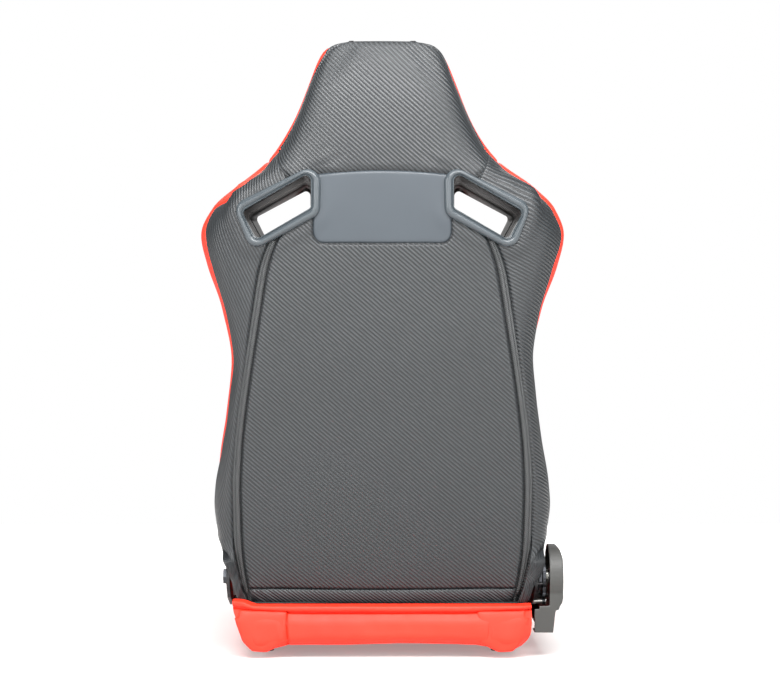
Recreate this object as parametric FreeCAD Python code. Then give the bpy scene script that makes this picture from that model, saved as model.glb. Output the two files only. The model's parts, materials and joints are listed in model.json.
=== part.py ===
import FreeCAD, Part
import math
import os

# Reclining racing seat, in millimetres.
# Row frame: +Y is the way the sitter faces, +X is the sitter's right, +Z is up.
# The origin is the centre of the four-bolt base pattern, on the underside of the base bosses.
# The backrest is modelled in its own frame, where X is the row's X, Y is depth d (towards the
# sitter) and Z is height h along the backrest, both from the recline axis. BACK_PLACE sets it
# into the row frame, leaning back by RECLINE_REST.

V = FreeCAD.Vector

# Driving dimensions: recline axis and rest lean
PIVOT_Y = -205.0
PIVOT_Z = 125.0
RECLINE_REST = 12.0
BACK_HEIGHT = 851.0
BACK_END_RADIUS = 58.0

# Upholstery
COVER = 4.0
SKIN_GAP = 0.5
SEAM_GAP = 0.4

# Recliner stack along X, each pair (inner face, outer face), the same on both sides
UPPER_ARM_X = (235.0, 239.8)
LOWER_ARM_X = (244.5, 249.5)
SPIRAL_X = (251.0, 256.0)
RATCHET_X = (258.0, 262.5)
CAM_X = (264.0, 267.0)
SHELL_X = (250.0, 282.0)
LEVER_X = (283.0, 290.0)
POCKET_X = 233.0
POCKET_R = 38.0
HUB_R = 14.0
SHAFT_R = 6.0
RUN_GAP = 0.08

# Base
BASE_REAR = -264.0
BASE_FRONT = 274.0
BASE_HALF_WIDTH = 236.0
CENTRE_HALF = 150.0
GUTTER_Z = 60.0
BOLT_X = 190.0
BOLT_Y = 170.0
BOSS_HEIGHT = 30.0
BOSS_R = 13.0
TAP_R = 3.4
SIDE_MEMBER_X = (196.0, 222.0)
SIDE_MEMBER_Z = (30.0, 98.0)
SHEET_STEEL = 2.5
TUBE_R = 11.0
TUBE_WALL = 1.6

# Profiles of the backrest as (h, value) pairs
HALF_WIDTH = [(-60, 235), (-5, 242), (12, 254), (40, 262), (80, 267), (115, 271), (190, 262),
              (270, 249), (355, 239), (430, 248), (500, 272), (548, 283), (590, 272), (620, 244),
              (660, 191), (690, 161), (730, 138), (790, 112), (830, 93), (851, 72)]
REAR_DEPTH = [(-60, -43), (0, -47), (150, -53), (350, -52), (550, -46), (660, -39), (760, -25),
              (830, -8), (851, 6)]
FRONT_DEPTH = [(-60, 44), (0, 46), (80, 52), (160, 58), (260, 52), (380, 40), (500, 34), (600, 38),
               (660, 46), (720, 60), (790, 68), (830, 58), (851, 34)]
CREST_DEPTH = [(-60, 46), (0, 50), (60, 82), (130, 138), (220, 178), (320, 182), (420, 158),
               (500, 130), (560, 120), (610, 108), (650, 92), (700, 84), (780, 88), (830, 68), (851, 38)]
CREST_X = [(-60, 196), (60, 214), (220, 212), (340, 200), (430, 206), (520, 232), (560, 238),
           (600, 220), (650, 165), (700, 122), (780, 92), (830, 72), (851, 52)]
WIDE_DEPTH = [(-60, 8), (60, 30), (150, 60), (300, 78), (450, 72), (550, 64), (620, 50), (700, 34),
              (800, 34), (851, 20)]
CENTRE_X = [(-60, 150), (100, 150), (300, 140), (450, 132), (540, 102), (620, 92), (700, 72),
            (780, 56), (851, 30)]
SLOPE_SHARE = [(-60, 0.6), (300, 0.62), (470, 0.5), (560, 0.36), (620, 0.4), (700, 0.55), (851, 0.6)]
REAR_CORNER = [(-60, 200), (-30, 212), (0, 224), (75, 234), (160, 236), (250, 229), (350, 215),
               (465, 200), (548, 196), (600, 190), (650, 138), (700, 106), (790, 84), (851, 44)]
SEAM_DEPTH = [(-60, 30), (0, 44), (60, 70), (140, 96), (240, 88), (340, 50), (430, 24), (540, 14),
              (620, 8), (700, 4), (800, 14), (851, 22)]
ZIP_X = [(-30, 209), (0, 221.5), (70, 230), (150, 231), (240, 226), (340, 212.5), (405, 202),
         (465, 192), (510, 183), (552, 169)]
ZIP_WIDTH = 11.0
CORNER_DROP = 9.0
STATIONS = [-60, -20, 15, 60, 130, 210, 300, 390, 470, 540, 590, 630, 665, 710, 770, 820, 851]

# Harness pass-through: corners of the opening on the rear face, (x, h), right-hand side
SLOT_REAR = [(109, 658), (109, 605), (193, 556), (215, 597)]
SLOT_RIM_REAR = [(93, 675), (95, 594), (202, 535.5), (229, 607)]
SLOT_CENTRE = (156.5, 604.0)
SLOT_REAR_D = -40.0
SLOT_FRONT_D = 100.0
SLOT_TAPER = 0.86
SLOT_SHIFT = -4.0
SLOT_WALL = 2.5
SLOT_MEET_D = 10.0
SLOT_CORNER = 9.0
RIM_CORNER = 20.0
RIM_WIDTH = 15.0
RIM_PROUD = 6.5
RIM_DEEP = 6.0

# Seams of the rear cover, heights on the backrest
HEM_TOP_H = -14.0
YOKE_TOP_H = 660.0
YOKE_BOTTOM_H = 549.0
YOKE_BOTTOM_HALF = 104.0
YOKE_TOP_HALF = 96.0
HEAD_FRONT_H = 665.0

# Pieces between the two ends: springs, arms, cover screws, tubes, and the ratchet's teeth.
SPRING_HEIGHTS = (115.0, 200.0, 285.0, 370.0)
ARM_BOLTS = [(-120.0, 83.0), (-74.0, 82.0)]
ARM_BOLT_R = 5.0
SHELL_SCREWS = [(-147.0, 87.0), (30.0, 62.0)]
BASE_TUBES = [(214.0, 62.0), (-222.0, 42.0)]
TOOTH_COUNT = 60
TOOTH_TIP = 32.0
TOOTH_ROOT = 29.6
PAWL_ANGLE = 318.0
PAWL_SPREAD = 24.0
RATCHET_START = PAWL_ANGLE - 80
RATCHET_END = PAWL_ANGLE + 40

# Thigh bolster: height of its crest along Y, and where its sections stand.
THIGH_CREST = [(-138, 120), (-130, 138), (-100, 156), (-60, 186), (0, 218), (80, 236), (160, 230),
               (230, 206), (262, 164), (274, 110)]
THIGH_STATIONS = [-138, -126, -100, -50, 10, 80, 150, 210, 250, 270]

BACK_PLACE = FreeCAD.Placement(V(0, PIVOT_Y, PIVOT_Z), FreeCAD.Rotation(V(1, 0, 0), RECLINE_REST))
PARTS = {}


def keep(name, shape, back=False):
    """Store a node's solids, moving backrest pieces into the row frame."""
    shape = shape.copy()
    if back:
        shape.Placement = BACK_PLACE.multiply(shape.Placement)
    PARTS[name] = shape


def pchip(points, h):
    """Smooth curve through (h, value) pairs that never overshoots them."""
    xs = [p[0] for p in points]
    ys = [p[1] for p in points]
    h = min(max(h, xs[0]), xs[-1])
    i = max(k for k in range(len(xs) - 1) if xs[k] <= h)
    steps = [(ys[k + 1] - ys[k]) / (xs[k + 1] - xs[k]) for k in range(len(xs) - 1)]

    def slope(k):
        if k == 0:
            return steps[0]
        if k == len(xs) - 1:
            return steps[-1]
        a, b = steps[k - 1], steps[k]
        return 0.0 if a * b <= 0 else 2 * a * b / (a + b)

    span = xs[i + 1] - xs[i]
    t = (h - xs[i]) / span
    rise = (1 + 2 * t) * (1 - t) ** 2 * ys[i] + t * t * (3 - 2 * t) * ys[i + 1]
    return rise + span * (t * (1 - t) ** 2 * slope(i) + t * t * (t - 1) * slope(i + 1))


def half_section(h):
    """Key points (x, d) of the backrest's section at height h, rear centre to front centre."""
    wide = pchip(HALF_WIDTH, h)
    rear = pchip(REAR_DEPTH, h)
    front = pchip(FRONT_DEPTH, h)
    crest_d = pchip(CREST_DEPTH, h)
    crest_x = pchip(CREST_X, h)
    wide_d = pchip(WIDE_DEPTH, h)
    centre = pchip(CENTRE_X, h)
    corner = min(pchip(REAR_CORNER, h), wide - 8)
    share = pchip(SLOPE_SHARE, h)
    drop = CORNER_DROP * min(1.0, (front - rear) / 80.0)
    points = [(0, rear), (0.45 * corner, rear + 0.1 * drop), (0.84 * corner, rear + 0.5 * drop),
              (corner, rear + drop)]
    for degrees in (38, 64):
        t = math.radians(degrees)
        points.append((corner + (wide - corner) * math.sin(t) ** 0.9,
                       rear + drop + (wide_d - rear - drop) * (1 - math.cos(t))))
    points.append((wide, wide_d))
    points.append((wide - 0.3 * (wide - crest_x), wide_d + 0.72 * (crest_d - wide_d)))
    points.append((crest_x, crest_d))
    points.append((crest_x - 0.45 * (crest_x - centre), front + share * (crest_d - front)))
    points.append((centre + 2, front + 0.1 * (crest_d - front)))
    points.append((0.55 * centre, front + 0.02 * (crest_d - front)))
    points.append((0, front))
    return points


def closed_curve(points, inset=0.0):
    """Closed smooth curve through planar points listed counter-clockwise, moved inward by inset."""
    curve = Part.BSplineCurve()
    curve.interpolate(Points=points, PeriodicFlag=True)
    if inset <= 0:
        return curve
    moved = []
    for p in points:
        along = curve.tangent(curve.parameter(p))[0]
        normal = V(-along.y, along.x, 0) if abs(along.z) < 1e-6 else V(-along.z, 0, along.x)
        moved.append(p + normal * inset)
    inner = Part.BSplineCurve()
    inner.interpolate(Points=moved, PeriodicFlag=True)
    return inner


def section_points(h, inset):
    """Whole section loop at height h as points, shrunk by inset."""
    right = half_section(h)
    loop = right + [(-x, d) for x, d in reversed(right[1:-1])]
    flat = [V(x, d, 0) for x, d in loop]
    if inset > 0:
        curve = closed_curve(flat)
        moved = []
        for p in flat:
            along = curve.tangent(curve.parameter(p))[0]
            moved.append(p + V(-along.y, along.x, 0) * inset)
        flat = moved
    return [V(p.x, p.y, h) for p in flat]


def loop_parameters(points):
    """Chord-length parameters of a closed loop, from 0 to 1."""
    lengths = [(b - a).Length for a, b in zip(points, points[1:] + points[:1])]
    total = sum(lengths)
    marks = [0.0]
    for length in lengths:
        marks.append(marks[-1] + length / total)
    marks[-1] = 1.0
    return marks


def back_envelope(inset):
    """The backrest's outer form, shrunk by inset on every side."""
    top = BACK_HEIGHT - inset
    heights = [min(h, top) for h in STATIONS]
    marks = loop_parameters(section_points(300, 0))
    wires = []
    for h in heights:
        curve = Part.BSplineCurve()
        curve.interpolate(Points=section_points(h, inset), PeriodicFlag=True, Parameters=marks)
        wires.append(Part.Wire([curve.toShape()]))
    body = Part.makeLoft(wires, True, False)
    end_radius = BACK_END_RADIUS - inset
    below = Part.makeBox(800, 800, 400, V(-400, -400, -400))
    drum = Part.makeCylinder(end_radius, 800, V(-400, 0, 0), V(1, 0, 0))
    return body.cut(below.cut(drum))


def slab(points, low, high):
    """Prism along d from a closed polygon of (x, h) points."""
    face = Part.Face(Part.makePolygon([V(x, low, h) for x, h in points + points[:1]]))
    return face.extrude(V(0, high - low, 0))


def band(profile, h_low, h_high, shift, reach=500.0):
    """Solid |x| < profile(h) + shift between two heights, right through the backrest."""
    steps = 24
    right = []
    for k in range(steps + 1):
        h = h_low + (h_high - h_low) * k / steps
        right.append((pchip(profile, h) + shift, h))
    left = [(-x, h) for x, h in reversed(right)]
    return slab(right + left, -reach, reach)


def depth_zone(profile, shift, h_low=-120.0, h_high=1000.0):
    """Everything in front of the curve d = profile(h) + shift."""
    steps = 30
    edge = []
    for k in range(steps + 1):
        h = h_low + (h_high - h_low) * k / steps
        edge.append(V(-500, pchip(profile, h) + shift, h))
    corners = edge + [V(-500, 500, h_high), V(-500, 500, h_low), edge[0]]
    return Part.Face(Part.makePolygon(corners)).extrude(V(1000, 0, 0))


def block(x0, x1, d0, d1, h0, h1):
    """Box between two corners, in any order of each pair."""
    low = V(min(x0, x1), min(d0, d1), min(h0, h1))
    return Part.makeBox(abs(x1 - x0), abs(d1 - d0), abs(h1 - h0), low)


def mirror(shape):
    """The same piece on the other side of the seat."""
    return shape.mirror(V(0, 0, 0), V(1, 0, 0))


def rounded(points, radius, grow=0.0):
    """Closed wire round a polygon of 3-D points in a plane, its corners turned into arcs.

    The polygon is first grown outward by grow along its own plane.
    """
    middle = V(0, 0, 0)
    for p in points:
        middle = middle + p
    middle = middle * (1.0 / len(points))
    normal = (points[1] - points[0]).cross(points[2] - points[1]).normalize()
    count = len(points)
    lines = []
    for a, b in zip(points, points[1:] + points[:1]):
        along = (b - a).normalize()
        out = along.cross(normal)
        if out.dot(a - middle) < 0:
            out = out * -1
        lines.append((a + out * grow, along))
    corners = []
    for k in range(count):
        (p, u), (q, w) = lines[k - 1], lines[k]
        cross = u.cross(w)
        t = (q - p).cross(w).dot(cross) / cross.dot(cross)
        corners.append(p + u * t)
    return Part.Wire(fillet_path(corners, radius + grow, True))


def fillet_path(points, radius, closed=False):
    """Edges along a polyline with an arc of about the given radius at each corner."""
    count = len(points)
    radii = radius if isinstance(radius, (list, tuple)) else [radius] * count
    stops = []
    for k in range(count):
        p = points[k]
        if not closed and k in (0, count - 1):
            stops.append((p, None, p))
            continue
        before = points[k - 1] - p
        after = points[(k + 1) % count] - p
        turn = math.pi - before.getAngle(after)
        room = 0.45 * min(before.Length, after.Length)
        cut = min(radii[k] * math.tan(turn / 2), room)
        start = p + before.normalize() * cut
        end = p + after.normalize() * cut
        bend = cut / math.tan(turn / 2)
        to_centre = (start + end) * 0.5 - p
        to_centre = to_centre.normalize() * (bend / math.cos(turn / 2))
        centre = p + to_centre
        middle = centre - to_centre.normalize() * bend
        stops.append((start, middle, end))
    edges = []
    for k in range(count):
        start, middle, end = stops[k]
        if middle is not None:
            edges.append(Part.Arc(start, middle, end).toShape())
        if closed or k < count - 1:
            nxt = stops[(k + 1) % count][0]
            if (nxt - end).Length > 1e-4:
                edges.append(Part.LineSegment(end, nxt).toShape())
    return edges


def rod(points, bend, radius):
    """Solid round bar along a polyline with rounded bends."""
    path = Part.Wire(fillet_path(points, bend))
    start = points[0]
    along = (points[1] - points[0]).normalize()
    ring = Part.Wire([Part.Circle(start, along, radius).toShape()])
    return path.makePipeShell([ring], True, False)


def tube(points, bend, radius, wall):
    """Round steel tube along a polyline with rounded bends."""
    return rod(points, bend, radius).cut(rod(points, bend, radius - wall))


def drum(radius, x0, x1, y=PIVOT_Y, z=PIVOT_Z):
    """Cylinder along X."""
    return Part.makeCylinder(radius, abs(x1 - x0), V(min(x0, x1), y, z), V(1, 0, 0))


def hex_head(across, x0, x1, y, z):
    """Hexagonal prism along X, across flats."""
    corner = across / math.sqrt(3)
    ring = [V(min(x0, x1), y + corner * math.cos(math.radians(60 * k)),
              z + corner * math.sin(math.radians(60 * k))) for k in range(7)]
    return Part.Face(Part.makePolygon(ring)).extrude(V(abs(x1 - x0), 0, 0))


def plate(points, corner, x0, x1):
    """Flat plate across X from a rounded polygon of (y, z) points."""
    wire = rounded([V(min(x0, x1), y, z) for y, z in points], corner)
    return Part.Face(wire).extrude(V(abs(x1 - x0), 0, 0))


def single(shape):
    """The shape's largest solid, to drop slivers a cut may leave."""
    return max(shape.Solids, key=lambda s: s.Volume)


# ---------------------------------------------------------------- harness pass-throughs

def slot_corners(depth):
    """Corners of the pass-through at a depth, right-hand side, in the backrest's frame."""
    share = (depth - SLOT_REAR_D) / (SLOT_FRONT_D - SLOT_REAR_D)
    size = 1 + (SLOT_TAPER - 1) * share
    drop = -math.tan(math.radians(RECLINE_REST)) * (depth - SLOT_REAR_D)
    cx, ch = SLOT_CENTRE
    return [V(cx + SLOT_SHIFT * share + (x - cx) * size, depth, ch + drop + (h - ch) * size)
            for x, h in SLOT_REAR]


def slot_prism(grow, low=-90.0, high=170.0):
    """The pass-through's clear space, grown by a wall or a clearance."""
    wires = [rounded(slot_corners(d), SLOT_CORNER, grow) for d in (low, high)]
    return Part.makeLoft(wires, True, True)


def surface_depth(x, h, front):
    """Depth of the backrest's front or rear face at (x, h)."""
    curve = Part.BSplineCurve()
    curve.interpolate(Points=section_points(h, 0), PeriodicFlag=True)
    samples = [curve.value(curve.FirstParameter + (curve.LastParameter - curve.FirstParameter)
                           * k / 720.0) for k in range(720)]
    near = [p for a, p in zip(samples[-1:] + samples[:-1], samples) if (a.x - x) * (p.x - x) <= 0]
    hits = [p.y for p in near]
    return max(hits) if front else min(hits)


def rim_frame(front):
    """Placement of a pass-through rim: its plane lies on the cover, its Y points outward."""
    depth_guess = 70.0 if front else SLOT_REAR_D
    corners = slot_corners(depth_guess)
    cx = sum(p.x for p in corners) / 4
    ch = sum(p.z for p in corners) / 4
    reach = 45.0
    d_in = surface_depth(cx - reach, ch, front)
    d_out = surface_depth(cx + reach, ch, front)
    d_low = surface_depth(cx, ch - 35, front)
    d_high = surface_depth(cx, ch + 35, front)
    centre = V(cx, (d_in + d_out) / 2, ch)
    across = V(2 * reach, d_out - d_in, 0).normalize()
    up = V(0, d_high - d_low, 70).normalize()
    normal = up.cross(across).normalize() if front else across.cross(up).normalize()
    return centre, across, normal


def rim_outline(front, grow):
    """Corner points of a rim in its own tilted plane."""
    centre, across, normal = rim_frame(front)
    if front:
        base = [V(p.x, 0, p.z) for p in slot_corners(centre.y)]
        grow = grow + RIM_WIDTH
        radius = RIM_CORNER - 2
    else:
        base = [V(x, 0, h) for x, h in SLOT_RIM_REAR]
        radius = RIM_CORNER
    points = []
    for p in base:
        rise = -(normal.x * (p.x - centre.x) + normal.z * (p.z - centre.z)) / normal.y
        points.append(V(p.x, centre.y + rise, p.z))
    return points, radius, grow, normal


def rim_block(front, grow, inner, outer):
    """Solid inside a rim's outline from inner to outer, measured outward from the cover."""
    points, radius, grow, normal = rim_outline(front, grow)
    if front:
        wire = rounded(points, SLOT_CORNER, grow)
    else:
        wire = rounded(points, radius, grow)
    wire.translate(normal * inner)
    return Part.Face(wire).extrude(normal * (outer - inner))


def rim(front):
    """Moulded rim of a pass-through with its half of the sleeve."""
    flange = rim_block(front, 0, -RIM_DEEP, RIM_PROUD)
    faces = [f for f in flange.Faces]
    centre, across, normal = rim_frame(front)
    top = max(faces, key=lambda f: f.CenterOfMass.dot(normal))
    flange = flange.makeFillet(5.5, top.Edges)
    if front:
        sleeve = slot_prism(SLOT_WALL).common(block(0, 400, SLOT_MEET_D + 0.3, centre.y, 300, 800))
    else:
        sleeve = slot_prism(SLOT_WALL).common(block(0, 400, centre.y, SLOT_MEET_D - 0.3, 300, 800))
    body = flange.fuse(sleeve).cut(slot_prism(0))
    return single(body)


def slot_room():
    """What covers and foam give up round both rims and the sleeve."""
    room = slot_prism(SLOT_WALL + SKIN_GAP)
    for front in (False, True):
        room = room.fuse(rim_block(front, SKIN_GAP, -RIM_DEEP - SKIN_GAP, 60))
    return room


# ---------------------------------------------------------------- backrest frame

def hoop_points():
    """Centre line of the backrest's main tube, left foot to right foot."""
    right = [(223.5, -22, 10), (223.5, -22, 90), (204, -22, 330), (202, -22, 450),
             (160, -22, 503), (84, -21, 521), (72, -18, 600), (68, 0, 700), (54, 16, 800)]
    return [V(-x, d, h) for x, d, h in right] + [V(x, d, h) for x, d, h in reversed(right)]


def hoop_bends():
    """Bend radius at each of the hoop's points."""
    right = [0, 90, 120, 60, 45, 45, 90, 120, 40]
    return right + right[::-1]


def leg_x(h):
    """Half distance between the hoop's legs at a height."""
    if h <= 90:
        return 223.5
    return 223.5 + (204 - 223.5) * (h - 90) / 240 if h <= 330 else 204 - 2 * (h - 330) / 120


def zigzag(half_span, wire_r, pitch, swing, place):
    """Sinuous spring wire across a span; place turns (along, side) into a point."""
    turns = int(2 * (half_span - 19) / pitch)
    start = -turns * pitch / 2
    flat = [(-half_span, 0.0), (9 - half_span, 0.0)]
    for k in range(turns + 1):
        side = swing if k % 2 else -swing
        flat.append((start + k * pitch - pitch * 0.32, side))
        flat.append((start + k * pitch + pitch * 0.32, side))
    flat += [(half_span - 9, 0.0), (half_span, 0.0)]
    return rod([place(a, s) for a, s in flat], pitch * 0.26, wire_r)


def build_back_frame():
    """Hoop, cross tubes, and sinuous springs with their clips."""
    hoop = tube(hoop_points(), hoop_bends(), TUBE_R, TUBE_WALL)
    keep("back_hoop", hoop, True)
    low = tube([V(-212, -22, 42), V(0, -22, 42.01), V(212, -22, 42)], 10, 8, 1.5)
    keep("back_cross_tube_lower", low, True)
    high_x = leg_x(430) - TUBE_R - 0.6
    high = tube([V(-high_x, -22, 430), V(0, -22, 430.01), V(high_x, -22, 430)], 10, 8, 1.5)
    keep("back_cross_tube_upper", high, True)
    springs = []
    clips = []
    for h in SPRING_HEIGHTS:
        reach = leg_x(h) - TUBE_R - 4.5
        springs.append(zigzag(reach, 1.7, 26.0, 17.0, lambda a, s, h=h: V(a, -22, h + s)))
        tilt = V(-19.5, 0, 240).normalize() if h < 330 else V(-2, 0, 120).normalize()
        for side in (1, -1):
            axis = V(side * tilt.x, 0, tilt.z)
            foot = V(side * leg_x(h), -22, h) - axis * 6
            ring = Part.makeCylinder(TUBE_R + 2.0, 12, foot, axis)
            ring = ring.cut(Part.makeCylinder(TUBE_R + 0.2, 14, foot - axis, axis))
            lug = block(side * (leg_x(h) - TUBE_R - 9), side * (leg_x(h) - TUBE_R - 1), -25.5, -18.5,
                        h - 4, h + 4)
            lug = lug.cut(Part.makeCylinder(1.9, 40, V(side * leg_x(h) - 20, -22, h), V(1, 0, 0)))
            lug = lug.cut(Part.makeCylinder(TUBE_R + 0.2, 30, foot - axis * 8, axis))
            clips.append(ring.fuse(lug))
    keep("back_springs", Part.makeCompound(springs), True)
    keep("back_spring_clips", Part.makeCompound([single(c) for c in clips]), True)


def rear_board():
    """Pressed board behind the springs, from side to side of the foam's opening."""
    outline = both_sides(zip_line(-15, 0, 520))
    return slab(outline, -300, 0).common(depth_zone(REAR_DEPTH, 15.0)).cut(depth_zone(REAR_DEPTH, 18.0))


# ---------------------------------------------------------------- backrest covers and foam

def yoke_outline(grow):
    """Smooth rear panel between the pass-throughs, wider than the visible part so the rims cover
    its ends."""
    top = YOKE_TOP_H + grow
    low = YOKE_BOTTOM_H - grow
    half = YOKE_BOTTOM_HALF + grow
    arc = []
    radius = 17.0
    for k in range(7):
        t = math.radians(90 * k / 6.0)
        arc.append((half - radius + radius * math.cos(t), low + radius - radius * math.sin(t)))
    right = [(YOKE_TOP_HALF + grow, top - 4), (half + 3, 620)] + arc
    return [(0, top)] + right + [(-x, h) for x, h in reversed(right)]


def zip_line(shift, h_low, h_high, count=22):
    """Points along the right-hand zip, moved sideways by shift."""
    heights = [h_low + (h_high - h_low) * k / float(count) for k in range(count + 1)]
    return [(pchip(ZIP_X, h) + shift, h) for h in heights]


def both_sides(right):
    """Closed outline from its right-hand half, listed upwards."""
    return right + [(-x, h) for x, h in reversed(right)]


def panel(outer, inner, outline, rear, room):
    """One panel of the backrest's cover, behind or in front of the side seam."""
    gap = 0 if rear else SEAM_GAP
    sitter_side = depth_zone(SEAM_DEPTH, gap).fuse(block(-200, 200, 12 + gap, 400, -120, 1000))
    piece = outer.common(slab(outline, -300, 400))
    piece = piece.cut(sitter_side) if rear else piece.common(sitter_side)
    piece = piece.cut(inner)
    for shape in room:
        piece = piece.cut(shape)
    return single(piece)


def build_back_covers(outer, inner):
    """Sewn cover panels as separate skins over the foam."""
    right_room = slot_room()
    rooms = [right_room, mirror(right_room)]
    right_side = block(0, 400, -300, 400, -200, 900)
    outer_right, inner_right = outer.common(right_side), inner.common(right_side)
    edge = ZIP_WIDTH / 2 + SEAM_GAP
    low, high = -120, 546
    pocket = drum_local(POCKET_R, POCKET_X, 330)

    split = [(140, 640), (148, 650), (165, 684), (172, 688), (340, 688)]
    outline = zip_line(edge, low, high) + [(150, 600)] + split + [(340, low)]
    side = panel(outer_right, inner_right, outline, True, [right_room, pocket])
    outline = zip_line(-ZIP_WIDTH / 2, low, high) + zip_line(ZIP_WIDTH / 2, low, high)[::-1]
    zipper = panel(outer_right, inner_right, outline, True, [])
    outline = [(pchip(CENTRE_X, h) + SEAM_GAP, h) for h in range(low, int(HEAD_FRONT_H) + 1, 15)]
    outline += [(90, HEAD_FRONT_H), (340, HEAD_FRONT_H), (340, low)]
    bolster = panel(outer_right, inner_right, outline, False, [right_room, pocket])
    for name, piece in (("rear_side_panel", side), ("rear_zip", zipper), ("back_bolster_cover", bolster)):
        keep(name + "_right", piece, True)
        keep(name + "_left", mirror(piece), True)

    yoke = slab(yoke_outline(SEAM_GAP), -300, 10)
    head = both_sides([(x, h + SEAM_GAP) for x, h in split] + [(340, 900)])
    keep("rear_head_panel", panel(outer, inner, head, True, rooms + [yoke]), True)
    keep("rear_yoke_panel", panel(outer, inner, yoke_outline(0), True, rooms), True)
    middle = both_sides(zip_line(-edge - 0.3, HEM_TOP_H, high) + [(150, 600), (80, 612)])
    keep("rear_centre_panel", panel(outer, inner, middle, True, rooms + [yoke]), True)
    hem = both_sides(zip_line(-edge - 0.8, low, HEM_TOP_H - SEAM_GAP, 8))
    keep("rear_hem_strip", panel(outer, inner, hem, True, []), True)
    headrest = both_sides([(340, HEAD_FRONT_H + SEAM_GAP), (340, 900)])
    keep("headrest_cover_front", panel(outer, inner, headrest, False, rooms), True)
    centre = both_sides([(pchip(CENTRE_X, h), h) for h in range(low, int(HEAD_FRONT_H), 15)]
                        + [(74, HEAD_FRONT_H)])
    keep("back_centre_panel", panel(outer, inner, centre, False, rooms), True)


def drum_local(radius, x0, x1):
    """Cylinder along X about the recline axis, in the backrest's frame."""
    return Part.makeCylinder(radius, abs(x1 - x0), V(min(x0, x1), 0, 0), V(1, 0, 0))


def build_back_foam():
    """Moulded foam blocks with channels for the frame, and the rear board."""
    core = back_envelope(COVER + SKIN_GAP)
    room = slot_prism(SLOT_WALL + SKIN_GAP)
    for front in (False, True):
        room = room.fuse(rim_block(front, SKIN_GAP, -RIM_DEEP - SKIN_GAP, 60))
    pocket = drum_local(POCKET_R, POCKET_X - 1, 330).fuse(drum_local(14, 220, 330))
    arm_slot = block(UPPER_ARM_X[0] - 0.6, UPPER_ARM_X[1] + 0.6, -46, 26, -40, 156)
    hoop_clear = rod(hoop_points(), hoop_bends(), TUBE_R + 2.4)
    tube_clear = rod([V(-212, -22, 42), V(0, -22, 42.01), V(212, -22, 42)], 10, 8.6)
    tube_clear = tube_clear.fuse(rod([V(-204, -22, 430), V(0, -22, 430.01), V(204, -22, 430)], 10, 8.6))
    cavity = band(ZIP_X, -2, 522, -13).common(block(-400, 400, -200, -3, -60, 600))
    used = cavity.fuse(hoop_clear).fuse(tube_clear)
    half = core.common(block(0, 400, -300, 400, -200, 900)).cut(used)
    half = half.cut(room).cut(pocket).cut(arm_slot)
    bolster = half.common(block(CENTRE_HALF + SKIN_GAP, 400, -300, 400, -200, 520))
    keep("torso_bolster_foam_right", single(bolster), True)
    keep("torso_bolster_foam_left", single(mirror(bolster)), True)
    shoulder = half.common(block(0.3, 400, -300, 400, 520.5, 690))
    keep("shoulder_foam_right", single(shoulder), True)
    keep("shoulder_foam_left", single(mirror(shoulder)), True)
    middle = core.cut(used).common(block(-CENTRE_HALF, CENTRE_HALF, -2.5, 300, -200, 520))
    keep("back_centre_foam", single(middle), True)
    head = core.cut(hoop_clear).common(block(-400, 400, -300, 400, 690.5, 900))
    keep("headrest_foam", single(head), True)
    keep("back_board", single(rear_board().cut(hoop_clear)), True)


# ---------------------------------------------------------------- recliner and hinge

def arc_points(radius, start, end, count, y=0.0, z=0.0):
    """Points on an arc, degrees from +Y towards +Z."""
    return [(y + radius * math.cos(math.radians(start + (end - start) * k / (count - 1.0))),
             z + radius * math.sin(math.radians(start + (end - start) * k / (count - 1.0))))
            for k in range(count)]


def sector_points():
    """Toothed sector in the backrest's frame, whose teeth cover the recline range."""
    step = 360.0 / TOOTH_COUNT
    first = RATCHET_START - RECLINE_REST
    count = int((RATCHET_END - RATCHET_START) / step)
    points = []
    for k in range(count):
        base = first + k * step
        points += arc_points(TOOTH_ROOT, base, base + step * 0.25, 2)
        points += arc_points(TOOTH_TIP, base + step * 0.45, base + step * 0.75, 2)
    points += arc_points(TOOTH_ROOT, first + count * step, first + count * step + 6, 2)
    points += arc_points(24.0, first + count * step + 16, first + 344, 16)
    return points


def build_recliner_back_side():
    """Pieces of the recliner and hinge that turn with the backrest."""
    strap = [(-30, 150), (-4, 150), (8, 60), (26, 14), (26, -14), (6, -28), (-14, -28), (-30, -6)]
    arm = plate(strap, 9, UPPER_ARM_X[0], UPPER_ARM_X[1])
    arm = arm.cut(drum_local(4.2, 230, 250).translated(V(0, -22, 132)))
    boss = drum_local(HUB_R, UPPER_ARM_X[1] - 1, CAM_X[0] - 0.7)
    right = arm.fuse(boss).cut(drum_local(SHAFT_R + RUN_GAP, 230, 300))
    slot = block(SPIRAL_X[0], SPIRAL_X[1], -1.1, 1.1, 8, 20)
    keep("recliner_upper_arm", single(right.cut(slot)), True)
    bare = arm.cut(drum_local(8 + RUN_GAP, 230, 250))
    keep("hinge_upper_arm", single(mirror(bare)), True)
    face = [V(RATCHET_X[0], d, h) for d, h in sector_points()]
    sector = Part.Face(Part.makePolygon(face + face[:1])).extrude(V(RATCHET_X[1] - RATCHET_X[0], 0, 0))
    keep("toothed_sector", sector.cut(drum_local(HUB_R + 0.02, 250, 270)), True)


def lower_arm_plate():
    """Lower arm: a round head on the recline axis and a foot bolted to the base."""
    foot = [(-186, 82), (-160, 73), (-66, 71), (-60, 94), (-150, 104), (-176, 118), (-196, 120),
            (-226, 108), (-214, 92)]
    arm = plate(foot, 6, LOWER_ARM_X[0], LOWER_ARM_X[1])
    return arm.fuse(drum(30, LOWER_ARM_X[0], LOWER_ARM_X[1]))


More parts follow.
